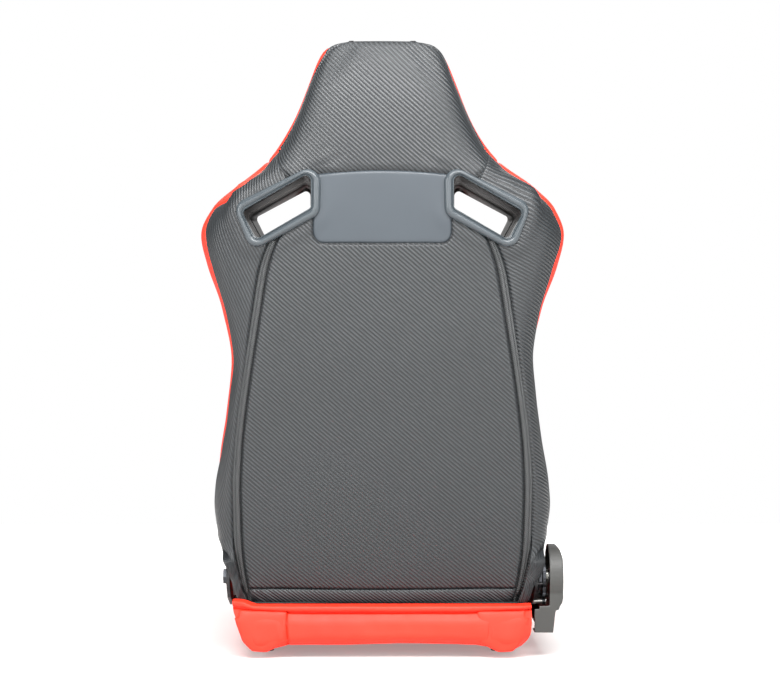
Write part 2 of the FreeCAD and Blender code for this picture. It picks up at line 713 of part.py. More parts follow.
def build_recliner_base_side():
    """Arms, bolts, spacers, spiral spring, pawl, and the hinge bolt."""
    arm = lower_arm_plate()
    for y, z in ARM_BOLTS:
        arm = arm.cut(drum(5.2, 240, 260, y, z))
    pawl_y, pawl_z = pawl_pivot()
    right = arm.cut(drum(HUB_R + RUN_GAP, 240, 260)).cut(drum(3.55, 240, 260, pawl_y, pawl_z))
    right = right.cut(drum(2.15, 240, 260, *SHELL_SCREWS[0]))
    post = drum(2.2, LOWER_ARM_X[1] - 0.5, SPIRAL_X[1] + 0.5, PIVOT_Y - 26.0, PIVOT_Z - 9.2)
    keep("recliner_lower_arm", single(right.fuse(post)))
    left = arm.cut(drum(8.02, 240, 260))
    keep("hinge_lower_arm", mirror(left))

    bolts, spacers = [], []
    for y, z in ARM_BOLTS:
        shank = drum(ARM_BOLT_R, SIDE_MEMBER_X[1] - SHEET_STEEL - 9, LOWER_ARM_X[1] + 0.2, y, z)
        bolts.append(shank.fuse(hex_head(15, LOWER_ARM_X[1] + 0.2, LOWER_ARM_X[1] + 6.4, y, z)))
        spacers.append(drum(8.5, SIDE_MEMBER_X[1] + 0.3, LOWER_ARM_X[0] - 0.3, y, z)
                       .cut(drum(ARM_BOLT_R + 0.2, 200, 260, y, z)))
    keep("arm_bolts", Part.makeCompound(bolts + [mirror(b) for b in bolts]))
    keep("arm_spacers", Part.makeCompound(spacers + [mirror(s) for s in spacers]))

    neck = drum(8.0, 231.5, LOWER_ARM_X[1] + 0.3)
    thread = drum(6.0, 222.0, 231.5)
    head = hex_head(22, LOWER_ARM_X[1] + 0.3, LOWER_ARM_X[1] + 7.0, PIVOT_Y, PIVOT_Z)
    flange = drum(14, LOWER_ARM_X[1] + 0.3, LOWER_ARM_X[1] + 2.4)
    keep("hinge_bolt", mirror(neck.fuse(thread).fuse(head).fuse(flange)))
    nut = hex_head(17, 224.0, 231.2, PIVOT_Y, PIVOT_Z).cut(drum(6.05, 220, 235))
    keep("hinge_nut", mirror(nut))

    keep("spiral_spring", spiral_spring())
    keep("pawl_pin", drum(3.5, LOWER_ARM_X[0], RATCHET_X[1] + 2.0, pawl_y, pawl_z)
         .fuse(drum(5.0, RATCHET_X[1] + 0.3, RATCHET_X[1] + 2.0, pawl_y, pawl_z)))
    keep("recliner_pawl", recliner_pawl())


def pawl_pivot():
    """Where the pawl turns, on the lower arm."""
    t = math.radians(PAWL_ANGLE - 46)
    return PIVOT_Y + 41 * math.cos(t), PIVOT_Z + 41 * math.sin(t)


def recliner_pawl():
    """Pawl drawn just clear of the sector's teeth, so that the backrest can be turned."""
    clear = TOOTH_TIP + 0.5
    step = 360.0 / TOOTH_COUNT
    inner = []
    count = int(PAWL_SPREAD / step)
    for k in range(count):
        base = PAWL_ANGLE - PAWL_SPREAD / 2 + k * step
        inner += arc_points(clear + 2.2, base, base + step * 0.3, 2, PIVOT_Y, PIVOT_Z)
        inner += arc_points(clear, base + step * 0.45, base + step * 0.8, 2, PIVOT_Y, PIVOT_Z)
    outer = arc_points(clear + 11, PAWL_ANGLE + PAWL_SPREAD / 2 + 4, PAWL_ANGLE - PAWL_SPREAD / 2 - 6, 6,
                       PIVOT_Y, PIVOT_Z)
    ring = [V(RATCHET_X[0], y, z) for y, z in inner + outer]
    body = Part.Face(Part.makePolygon(ring + ring[:1])).extrude(V(RATCHET_X[1] - RATCHET_X[0], 0, 0))
    pawl_y, pawl_z = pawl_pivot()
    eye = drum(6.5, RATCHET_X[0], RATCHET_X[1], pawl_y, pawl_z)
    neck_ring = arc_points(clear + 2.6, PAWL_ANGLE - 12, PAWL_ANGLE - 44, 6, PIVOT_Y, PIVOT_Z)
    neck_ring += arc_points(clear + 11, PAWL_ANGLE - 44, PAWL_ANGLE - 12, 6, PIVOT_Y, PIVOT_Z)
    ring = [V(RATCHET_X[0], y, z) for y, z in neck_ring]
    neck = Part.Face(Part.makePolygon(ring + ring[:1])).extrude(V(RATCHET_X[1] - RATCHET_X[0], 0, 0))
    tail = arc_points(clear + 6, PAWL_ANGLE + 8, PAWL_ANGLE + 8.1, 2, PIVOT_Y, PIVOT_Z)[0]
    peg = drum(2.2, RATCHET_X[1] - 0.5, CAM_X[1], tail[0], tail[1])
    body = body.fuse(neck).fuse(eye).fuse(peg)
    return single(body.cut(drum(3.5 + RUN_GAP, 240, 280, pawl_y, pawl_z)))


def spiral_spring():
    """Flat spiral spring round the hub, hooked on a post of the lower arm."""
    turns = 3.25
    start_r, end_r, thick = HUB_R + 1.2, 27.4, 1.5
    count = 78
    outer, inner = [], []
    for k in range(count + 1):
        share = k / float(count)
        r = start_r + (end_r - start_r) * share
        t = math.radians(RECLINE_REST + 90) + 2 * math.pi * turns * share
        outer.append((PIVOT_Y + (r + thick / 2) * math.cos(t), PIVOT_Z + (r + thick / 2) * math.sin(t)))
        inner.append((PIVOT_Y + (r - thick / 2) * math.cos(t), PIVOT_Z + (r - thick / 2) * math.sin(t)))
    ring = [V(SPIRAL_X[0] + 0.4, y, z) for y, z in outer + inner[::-1]]
    return Part.Face(Part.makePolygon(ring + ring[:1])).extrude(V(SPIRAL_X[1] - SPIRAL_X[0] - 0.8, 0, 0))


def build_lever():
    """Lever with its shaft and cam, which turn together on the recline axis."""
    shaft = drum(SHAFT_R, CAM_X[0] - 20, LEVER_X[1] - 3.5)
    t = math.radians(PAWL_ANGLE - 8)
    finger = [(PIVOT_Y + 8 * math.cos(t + 1.3), PIVOT_Z + 8 * math.sin(t + 1.3)),
              (PIVOT_Y + 36 * math.cos(t + 0.10), PIVOT_Z + 36 * math.sin(t + 0.10)),
              (PIVOT_Y + 38 * math.cos(t - 0.12), PIVOT_Z + 38 * math.sin(t - 0.12)),
              (PIVOT_Y + 9 * math.cos(t - 1.1), PIVOT_Z + 9 * math.sin(t - 1.1))]
    cam = plate(finger, 2, CAM_X[0], CAM_X[1]).fuse(drum(10.5, CAM_X[0], CAM_X[1]))
    keep("lever_shaft", shaft.fuse(cam))
    hub = drum(27, LEVER_X[0], LEVER_X[1])
    paddle = plate([(-222, 108), (-90, 96), (-68, 99), (-58, 110), (-70, 124), (-100, 128),
                    (-190, 149)], 8, LEVER_X[0], LEVER_X[1])
    lever = hub.fuse(paddle).removeSplitter()
    outer_edges = [e for e in lever.Edges
                   if abs(e.BoundBox.XMin - LEVER_X[1]) < 1e-3 and abs(e.BoundBox.XMax - LEVER_X[1]) < 1e-3]
    lever = lever.makeFillet(2.5, outer_edges)
    lever = lever.cut(drum(SHAFT_R + 0.02, 250, LEVER_X[1] - 3.5)).cut(drum(3.1, 280, 295))
    keep("recline_lever", single(lever))
    screw = drum(3.0, LEVER_X[1] - 3.4, LEVER_X[1] - 0.2).fuse(drum(5.5, LEVER_X[1] + 0.1, LEVER_X[1] + 1.8))
    screw = screw.fuse(drum(3.0, LEVER_X[1] - 0.3, LEVER_X[1] + 0.2))
    keep("lever_screw", screw)


def build_shell():
    """Moulded cover over the recliner: round over the axis, tapering forward along the base."""
    disc = arc_points(52, 205, -14, 30, PIVOT_Y, PIVOT_Z)
    side = [(-250, 40), (-252, 84)] + disc + [(-128, 106), (-40, 96), (40, 84), (58, 74), (64, 62),
                                              (60, 50), (48, 41)]
    ring = [V(SHELL_X[0], y, z) for y, z in side]
    body = Part.Face(Part.makePolygon(ring + ring[:1])).extrude(V(SHELL_X[1] - SHELL_X[0], 0, 0))
    skirt = [V(241.5, y, z) for y, z in [(-250, 40), (-251, 78), (-214, 78), (-214, 40)]]
    skirt = Part.Face(Part.makePolygon(skirt + skirt[:1])).extrude(V(12, 0, 0))
    slope = Part.Face(Part.makePolygon([V(276, -400, 30), V(283, -400, 30), V(283, -400, 86),
                                        V(276, -400, 30)])).extrude(V(0, 600, 0))
    tail_step = block(277, 290, -150, 120, 20, 220)
    rear_step = block(277, 290, -260, 120, 20, 76)
    body = body.fuse(skirt).cut(slope).cut(tail_step).cut(rear_step)
    wall = 2.6
    inner_disc = arc_points(52 - wall, 205, -14, 30, PIVOT_Y, PIVOT_Z)
    inside = [(-250 + wall, 40 + wall), (-252 + wall, 84)] + inner_disc + [
        (-128, 106 - wall), (-40, 96 - wall), (40, 84 - wall), (56, 72), (61, 62), (58, 52),
        (47, 41 + wall)]
    ring = [V(SHELL_X[0] - 3, y, z) for y, z in inside]
    deep = Part.Face(Part.makePolygon(ring + ring[:1]))
    hollow = deep.extrude(V(277 - wall - SHELL_X[0] + 3, 0, 0))
    bowl = drum(52 - wall, SHELL_X[0] - 3, SHELL_X[1] - wall)
    open_rim = block(SHELL_X[0] - 10, 266, -300, -152.5, 83, 200)
    body = body.cut(hollow).cut(bowl).cut(open_rim).cut(block(230, 250.1, -213.5, 200, 30, 200))
    inner_skirt = block(238, SHELL_X[0] + 0.2, -251 + wall, -210, 40 + wall, 90)
    body = body.cut(inner_skirt).cut(drum(SHAFT_R + 0.3, 260, 300))
    for y, z in SHELL_SCREWS:
        stub = drum(5.5, LOWER_ARM_X[1] + 0.6, 276, y, z)
        body = body.fuse(stub).cut(drum(2.2, 240, 290, y, z)).cut(drum(4.6, 274.5, 290, y, z))
    keep("recliner_cover", single(body))
    screws = []
    for y, z in SHELL_SCREWS:
        screws.append(drum(2.1, 246, 274.8, y, z).fuse(drum(4.2, 274.7, 276.6, y, z)))
    keep("recliner_cover_screws", Part.makeCompound(screws))
    keep("lever_return_spring", return_spring())


def return_spring():
    """Torsion spring of the lever, round its shaft."""
    turns, pitch, count = 3.5, 1.9, 42
    points = []
    for k in range(count + 1):
        t = 2 * math.pi * turns * k / count
        points.append(V(268.4 + pitch * turns * k / count, PIVOT_Y + 11 * math.cos(t),
                        PIVOT_Z + 11 * math.sin(t)))
    curve = Part.BSplineCurve()
    curve.interpolate(Points=points)
    start = curve.tangent(curve.FirstParameter)[0]
    ring = Part.Wire([Part.Circle(points[0], start, 0.75).toShape()])
    return Part.Wire([curve.toShape()]).makePipeShell([ring], True, True)


# ---------------------------------------------------------------- base frame and cushion

def side_member():
    """Pressed steel channel along the right side of the base, open towards the middle."""
    x0, x1 = SIDE_MEMBER_X
    z0, z1 = SIDE_MEMBER_Z
    outside = block(x0, x1, -238, 236, z0, z1)
    inside = block(x0 - 5, x1 - SHEET_STEEL, -240, 240, z0 + SHEET_STEEL, z1 - SHEET_STEEL)
    body = outside.cut(inside).cut(block(x0 - 5, x1 + 5, -260, -146, GUTTER_Z - 5, 100))
    body = body.fuse(block(x0, x1, -238, -146 + SHEET_STEEL, GUTTER_Z - 7.5, GUTTER_Z - 5))
    body = body.fuse(block(x0, x1, -146, -146 + SHEET_STEEL, GUTTER_Z - 7.5, z1))
    for y, z in ARM_BOLTS:
        body = body.fuse(hex_head(17, x1 - SHEET_STEEL - 8, x1 - SHEET_STEEL, y, z))
        body = body.cut(drum(ARM_BOLT_R + 0.05, x0 - 20, x1 + 20, y, z))
    for y in (-BOLT_Y, BOLT_Y):
        body = body.cut(Part.makeCylinder(TAP_R + 0.8, 20, V(BOLT_X, y, z0 - 5), V(0, 0, 1)))
    return body


def base_envelope_points(inset):
    """Side profile of the cushion's middle, (y, z), as a closed loop of edges."""
    i = inset
    top = [(-138 + i, 128), (-124 + i * 0.7, 146 - i), (-100, 151 - i), (-40, 148 - i), (60, 158 - i),
           (160, 176 - i), (220, 182 - i), (252 - i * 0.5, 172 - i * 0.8), (BASE_FRONT - 4 - i, 146),
           (BASE_FRONT - i, 110), (BASE_FRONT - 6 - i, 60)]
    curve = Part.BSplineCurve()
    curve.interpolate(Points=[V(0, y, z) for y, z in top])
    low = [(BASE_FRONT - 6 - i, 60), (BASE_FRONT - 16 - i, 34 + i), (BASE_REAR + i, 30 + i),
           (BASE_REAR + i, 74 - i), (BASE_REAR + 7, 79 - i), (BASE_REAR + 16 - i, 68 - i),
           (-238, GUTTER_Z - i), (-148, GUTTER_Z - i), (-138 + i, 72), (-138 + i, 128)]
    edges = [curve.toShape()]
    for (y0, z0), (y1, z1) in zip(low, low[1:]):
        edges.append(Part.LineSegment(V(0, y0, z0), V(0, y1, z1)).toShape())
    return Part.Wire(edges)


def cushion_middle(inset, half):
    """Middle of the cushion, between the thigh bolsters."""
    wire = base_envelope_points(inset)
    wire.translate(V(-half, 0, 0))
    return Part.Face(wire).extrude(V(2 * half, 0, 0))


def thigh_section(y, inset):
    """Section (x, z) of the right thigh bolster."""
    crest = pchip(THIGH_CREST, y)
    ease = 1.0 if y < 200 else max(0.0, 1 - ((y - 200) / 90.0) ** 2)
    wide = BASE_HALF_WIDTH - 14 + 24 * ease
    outer = wide - 7 * min(1.0, max(0.0, (-40.0 - y) / 50.0))
    rise = crest - 60
    inner = CENTRE_HALF + 1
    surface = min(crest - 4, 150 + max(0.0, y) * 0.12)
    points = [(inner, 34), (inner, 34 + 0.5 * (surface - 34)), (inner + 1, surface),
              (inner + 18, surface + 0.55 * (crest - surface)), (inner + 40, crest),
              (outer - 20, crest - 0.12 * rise), (outer, crest - 0.45 * rise), (outer - 4, 60),
              (wide - 18, 26), (inner + 44, 12), (inner + 14, 20)]
    return points


def thigh_bolster(inset):
    """Right thigh bolster, with the low shelf behind it that carries the backrest's end."""
    wires = []
    for y in THIGH_STATIONS:
        y_in = min(max(y, -138 + inset), 270 - inset)
        raw = [V(x, 0, z) for x, z in thigh_section(y_in, inset)]
        curve = Part.BSplineCurve()
        curve.interpolate(Points=raw, PeriodicFlag=True)
        if inset > 0:
            moved = []
            for p in raw:
                along = curve.tangent(curve.parameter(p))[0]
                moved.append(p + V(along.z, 0, -along.x) * inset)
            raw = moved
        curve = Part.BSplineCurve()
        marks = loop_parameters([V(x, 0, z) for x, z in thigh_section(80, 0)])
        curve.interpolate(Points=[V(p.x, y_in, p.z) for p in raw], PeriodicFlag=True, Parameters=marks)
        wires.append(Part.Wire([curve.toShape()]))
    upper = Part.makeLoft(wires, True, False)
    i = inset
    shelf = [(CENTRE_HALF + 1 + i, 27 + i), (185, 9 + i), (206, 10 + i), (222 - i, 26 + i * 0.6),
             (BASE_HALF_WIDTH - i, 63 - i), (BASE_HALF_WIDTH - 8 - i, GUTTER_Z + 4 - i),
             (BASE_HALF_WIDTH - 20, GUTTER_Z - i), (CENTRE_HALF + 1 + i, GUTTER_Z - i)]
    ring = [V(x, BASE_REAR + i, z) for x, z in shelf]
    low = Part.Face(Part.makePolygon(ring + ring[:1])).extrude(V(0, -130 - BASE_REAR - i, 0))
    lip = [(BASE_REAR + i, GUTTER_Z - 5), (BASE_REAR + i, 74 - i), (BASE_REAR + 7, 79 - i),
           (BASE_REAR + 16 - i, 68 - i), (-238, GUTTER_Z - i), (-238, GUTTER_Z - 5)]
    ring = [V(CENTRE_HALF + 1 + i, y, z) for y, z in lip]
    across = BASE_HALF_WIDTH - 9 - CENTRE_HALF - 2 * i
    edge = Part.Face(Part.makePolygon(ring + ring[:1])).extrude(V(across, 0, 0))
    return upper.fuse(low).fuse(edge)


def build_base():
    """Frame, mounting bosses, springs, foam and cover of the seat base."""
    member = side_member()
    keep("side_member_right", member)
    keep("side_member_left", mirror(member))
    reach = SIDE_MEMBER_X[0] - 0.5
    tubes = [tube([V(-reach, y, z), V(0, y, z + 0.01), V(reach, y, z)], 10, TUBE_R - 1, TUBE_WALL)
             for y, z in BASE_TUBES]
    keep("base_tubes", Part.makeCompound(tubes))
    bosses = []
    for x in (-BOLT_X, BOLT_X):
        for y in (-BOLT_Y, BOLT_Y):
            boss = Part.makeCylinder(BOSS_R, BOSS_HEIGHT - 0.1, V(x, y, 0))
            bosses.append(boss.cut(Part.makeCylinder(TAP_R, 40, V(x, y, -2))))
    keep("mounting_bosses", Part.makeCompound(bosses))
    springs, hooks = [], []
    for x in (-116.0, -58.0, 0.0, 58.0, 116.0):
        springs.append(seat_spring(x))
        for y, z in BASE_TUBES:
            hook = Part.makeCylinder(TUBE_R + 1, 14, V(x - 7, y, z), V(1, 0, 0))
            hook = hook.cut(Part.makeCylinder(TUBE_R - 0.8, 20, V(x - 10, y, z), V(1, 0, 0)))
            hooks.append(hook)
    keep("seat_springs", Part.makeCompound(springs))
    keep("seat_spring_clips", Part.makeCompound(hooks))
    build_cushion()


def seat_spring(x):
    """One sinuous spring, sagging gently from the rear tube up to the front tube."""
    rear, front = -222.0 + TUBE_R + 2.6, 214.0 - TUBE_R - 2.6
    pitch = 26.0

    def place(along, side):
        share = (along - rear) / (front - rear)
        return V(x + side, along, 42 + 20 * share + 4 * math.sin(math.pi * share))

    turns = int((front - rear) / pitch) - 1
    first = rear + ((front - rear) - turns * pitch) / 2
    points = [place(rear, 0.0)]
    for k in range(turns + 1):
        side = 15.0 if k % 2 else -15.0
        points.append(place(first + k * pitch - 8, side))
        points.append(place(first + k * pitch + 8, side))
    points.append(place(front, 0.0))
    return rod(points, 6.5, 1.8)


def build_cushion():
    """Foam blocks of the cushion and the panels of its cover."""
    gap = COVER + SKIN_GAP
    member_room = block(SIDE_MEMBER_X[0] - 1, SIDE_MEMBER_X[1] + 0.6, -240, 238, 20, SIDE_MEMBER_Z[1] + 0.6)
    tubes = Part.makeCylinder(TUBE_R + 2, 500, V(-250, 214, 62), V(1, 0, 0))
    tubes = tubes.fuse(Part.makeCylinder(TUBE_R + 2, 500, V(-250, -222, 42), V(1, 0, 0)))
    spring_room = block(-CENTRE_HALF - 2, CENTRE_HALF + 2, -240, 230, 20, 76)
    low_room = block(-CENTRE_HALF - 2, CENTRE_HALF + 2, -240, -132, 20, 54)
    spring_room = spring_room.common(block(-200, 200, -132, 230, 20, 76)).fuse(low_room)
    middle = cushion_middle(gap, CENTRE_HALF - 1).cut(spring_room).cut(tubes)
    keep("cushion_centre_foam", single(middle))
    spacer_room = drum(9.5, 200, 300, *ARM_BOLTS[0]).fuse(drum(9.5, 200, 300, *ARM_BOLTS[1]))
    bosses = Part.makeCylinder(BOSS_R + 1, 60, V(BOLT_X, BOLT_Y, -5))
    bosses = bosses.fuse(Part.makeCylinder(BOSS_R + 1, 60, V(BOLT_X, -BOLT_Y, -5)))
    full = cushion_middle(0, CENTRE_HALF)
    skin = full.cut(cushion_middle(COVER, CENTRE_HALF + 5))
    skin = skin.cut(block(-200, 200, BASE_REAR + 22, BASE_FRONT - 40, 20, 50))
    rear = skin.common(block(-200, 200, -300, BASE_REAR + 12, 0, 200))
    keep("cushion_rear_panel", single(rear))
    top = skin.common(block(-200, 200, BASE_REAR + 12 + SEAM_GAP, 300, 0, 300))
    keep("cushion_centre_panel", single(top))
    shell = thigh_bolster(0).cut(thigh_bolster(COVER)).cut(spacer_room).cut(bosses).cut(tubes)
    shell = shell.cut(block(0, CENTRE_HALF + 0.4, -400, 400, 0, 400))
    shell = shell.cut(block(CENTRE_HALF, SIDE_MEMBER_X[1] - 14, -240, 240, 0, 27))
    inner_wall = block(CENTRE_HALF, CENTRE_HALF + 5.5, -246, 262, 27, 140)
    shell = shell.cut(inner_wall.common(cushion_middle(6, CENTRE_HALF + 10)))
    x0, x1 = SIDE_MEMBER_X
    shell = shell.cut(block(x0 - 0.5, x1 + 0.5, -146.5, 236.5, 29.5, SIDE_MEMBER_Z[1] + 0.5))
    shell = shell.cut(block(x0 - 0.5, x1 + 0.5, -238.5, -146, 29.5, GUTTER_Z - 4.6))
    keep("thigh_bolster_cover_right", single(shell))
    keep("thigh_bolster_cover_left", single(mirror(shell)))
    bolster = thigh_bolster(gap).cut(member_room).cut(tubes).cut(spacer_room).cut(bosses)
    bolster = bolster.cut(block(140, 300, -300, 300, 0, 26))
    keep("thigh_bolster_foam_right", single(bolster))
    keep("thigh_bolster_foam_left", single(mirror(bolster)))


def build_back():
    """Everything that tilts with the backrest except the recliner's own pieces."""
    outer = back_envelope(0)
    inner = back_envelope(COVER)
    build_back_covers(outer, inner)
    build_back_foam()
    build_back_frame()
    for front, name in ((False, "harness_rim_rear"), (True, "harness_rim_front")):
        body = rim(front)
        keep(name + "_right", body, True)
        keep(name + "_left", mirror(body), True)


def main():
    """Build every piece and write one STEP file for each."""
    build_base()
    build_back()
    build_recliner_back_side()
    build_recliner_base_side()
    build_lever()
    build_shell()
    os.makedirs("parts", exist_ok=True)
    for name, shape in sorted(PARTS.items()):
        box = shape.BoundBox
        state = "ok" if shape.isValid() else "INVALID"
        print("%-30s %8.1f cm3  solids %d  x %.0f..%.0f y %.0f..%.0f z %.0f..%.0f %s" % (
            name, shape.Volume / 1000, len(shape.Solids), box.XMin, box.XMax, box.YMin, box.YMax,
            box.ZMin, box.ZMax, state))
        shape.exportStep("parts/%s.step" % name)


main()
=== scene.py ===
"""Reclining sport seat: trim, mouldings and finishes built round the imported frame."""
import json
import logging
import math
from collections.abc import Callable, Sequence
from dataclasses import dataclass, field
from enum import Enum

import bmesh
import bpy
import numpy as np
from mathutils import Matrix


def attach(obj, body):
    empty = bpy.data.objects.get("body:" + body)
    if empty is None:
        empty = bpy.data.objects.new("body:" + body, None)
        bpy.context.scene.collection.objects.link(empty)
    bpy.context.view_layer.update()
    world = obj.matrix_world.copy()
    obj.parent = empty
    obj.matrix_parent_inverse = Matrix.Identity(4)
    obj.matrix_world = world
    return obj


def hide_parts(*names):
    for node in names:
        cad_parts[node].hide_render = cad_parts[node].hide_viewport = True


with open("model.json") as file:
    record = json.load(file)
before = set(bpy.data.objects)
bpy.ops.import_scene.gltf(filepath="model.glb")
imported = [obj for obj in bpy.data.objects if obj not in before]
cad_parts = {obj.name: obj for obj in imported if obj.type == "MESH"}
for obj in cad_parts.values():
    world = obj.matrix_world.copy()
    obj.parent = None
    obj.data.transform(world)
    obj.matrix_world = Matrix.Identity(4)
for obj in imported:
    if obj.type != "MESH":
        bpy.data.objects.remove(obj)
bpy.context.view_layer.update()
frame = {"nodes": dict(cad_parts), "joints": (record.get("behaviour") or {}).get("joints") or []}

LOG = logging.getLogger("seat")
MM = 0.001
RECLINE = next(j for j in frame["joints"] if j["name"] == "backrest_recline")
PIVOT_Y, PIVOT_Z = (v / MM for v in RECLINE["pos_m"][1:])
REST_LEAN = math.radians(12.0)

Array = np.ndarray


class Side(Enum):
    """Which side of the seat a piece is on, as the sitter sees it."""
    RIGHT = 1
    LEFT = -1

    @property
    def word(self) -> str:
        """Name ending for a piece on this side."""
        return self.name.lower()


class Face(Enum):
    """Where a cover's sideways measure starts: the rear centre line or the front one."""
    REAR = "rear"
    FRONT = "front"


class Body(Enum):
    """CAD bodies that pieces ride on."""
    BASE = "base"
    BACK = "backrest"
    LEVER = "lever"
    PAWL = "pawl"


# ------------------------------------------------------------------ numbers and curves

@dataclass(frozen=True)
class Profile:
    """Smooth curve through (height, value) stations that never overshoots them."""
    stations: tuple[tuple[float, float], ...]

    def __call__(self, h: Array | float) -> Array:
        """Value of the curve.

        Args:
            h: heights in millimetres.
        Returns:
            Values at those heights.
        """
        xs, ys = np.array(self.stations, float).T
        steps = np.diff(ys) / np.diff(xs)
        slopes = np.empty(len(xs))
        slopes[0], slopes[-1] = steps[0], steps[-1]
        a, b = steps[:-1], steps[1:]
        total = np.where(np.abs(a + b) < 1e-12, 1.0, a + b)
        slopes[1:-1] = np.where(a * b > 0, 2 * a * b / total, 0.0)
        h = np.clip(np.asarray(h, float), xs[0], xs[-1])
        i = np.clip(np.searchsorted(xs, h, side="right") - 1, 0, len(xs) - 2)
        span = xs[i + 1] - xs[i]
        t = (h - xs[i]) / span
        rise = (1 + 2 * t) * (1 - t) ** 2 * ys[i] + t * t * (3 - 2 * t) * ys[i + 1]
        return rise + span * (t * (1 - t) ** 2 * slopes[i] + t * t * (t - 1) * slopes[i + 1])


def smooth(low: float, high: float, x: Array | float) -> Array:
    """Soft step from 0 to 1.

    Args:
        low: where the step starts.
        high: where it ends; it may be below low.
        x: measure.
    Returns:
        Values from 0 to 1.
    """
    t = np.clip((np.asarray(x, float) - low) / (high - low), 0, 1)
    return t * t * (3 - 2 * t)


def ripple(q: Array, h: Array, size: float, seed: int) -> Array:
    """Soft irregular waves, the same on every run.

    Args:
        q: sideways measure.
        h: height measure.
        size: typical length of a wave.
        seed: picks the pattern.
    Returns:
        Values of about -1 to 1.
    """
    rng = np.random.default_rng(seed)
    total = np.zeros(np.broadcast(q, h).shape)
    for _ in range(7):
        angle, phase, stretch = rng.uniform(0, math.pi), rng.uniform(0, 6.28), rng.uniform(0.6, 1.7)
        k = 2 * math.pi / (size * stretch)
        total = total + np.sin(k * (q * math.cos(angle) + h * math.sin(angle)) + phase)
    return total / 3.2


def closed_spline(points: Array, samples: int) -> Array:
    """Cubic spline through a closed loop of points.

    Args:
        points: loop of n two-column points.
        samples: number of points to return round the loop.
    Returns:
        Dense loop, samples by two.
    """
    n = len(points)
    step = np.linalg.norm(np.roll(points, -1, 0) - points, axis=1)
    knots = np.concatenate([[0], np.cumsum(step)])
    before = np.roll(step, 1)
    system = np.zeros((n, n))
    rows = np.arange(n)
    system[rows, rows] = 2 * (before + step)
    system[rows, (rows - 1) % n] += before
    system[rows, (rows + 1) % n] += step
    slope = (np.roll(points, -1, 0) - points) / step[:, None]
    bend = np.linalg.solve(system, 6 * (slope - np.roll(slope, 1, 0)))
    t = np.linspace(0, knots[-1], samples, endpoint=False)
    i = np.clip(np.searchsorted(knots, t, side="right") - 1, 0, n - 1)
    j = (i + 1) % n
    u, w = (t - knots[i])[:, None], step[i][:, None]
    a, b = points[i], slope[i] - w * (2 * bend[i] + bend[j]) / 6
    return a + u * (b + u * (bend[i] / 2 + u * (bend[j] - bend[i]) / (6 * w)))


def graded(low: float, high: float, step: float, ends: Sequence[float] = (0.9, 2.0, 3.4, 5.2, 7.6)) -> Array:
    """Positions from low to high, close together at both ends where the seams roll down.

    Args:
        low: first position.
        high: last position.
        step: spacing in the middle.
        ends: distances from each end that get a position.
    Returns:
        Rising positions.
    """
    near = np.array([0.0, *ends])
    count = max(2, int(round((high - low - 2 * near[-1]) / step)))
    middle = np.linspace(low + near[-1], high - near[-1], count + 1)[1:-1]
    return np.concatenate([low + near, middle, high - near[::-1]])


# ------------------------------------------------------------------ backrest form

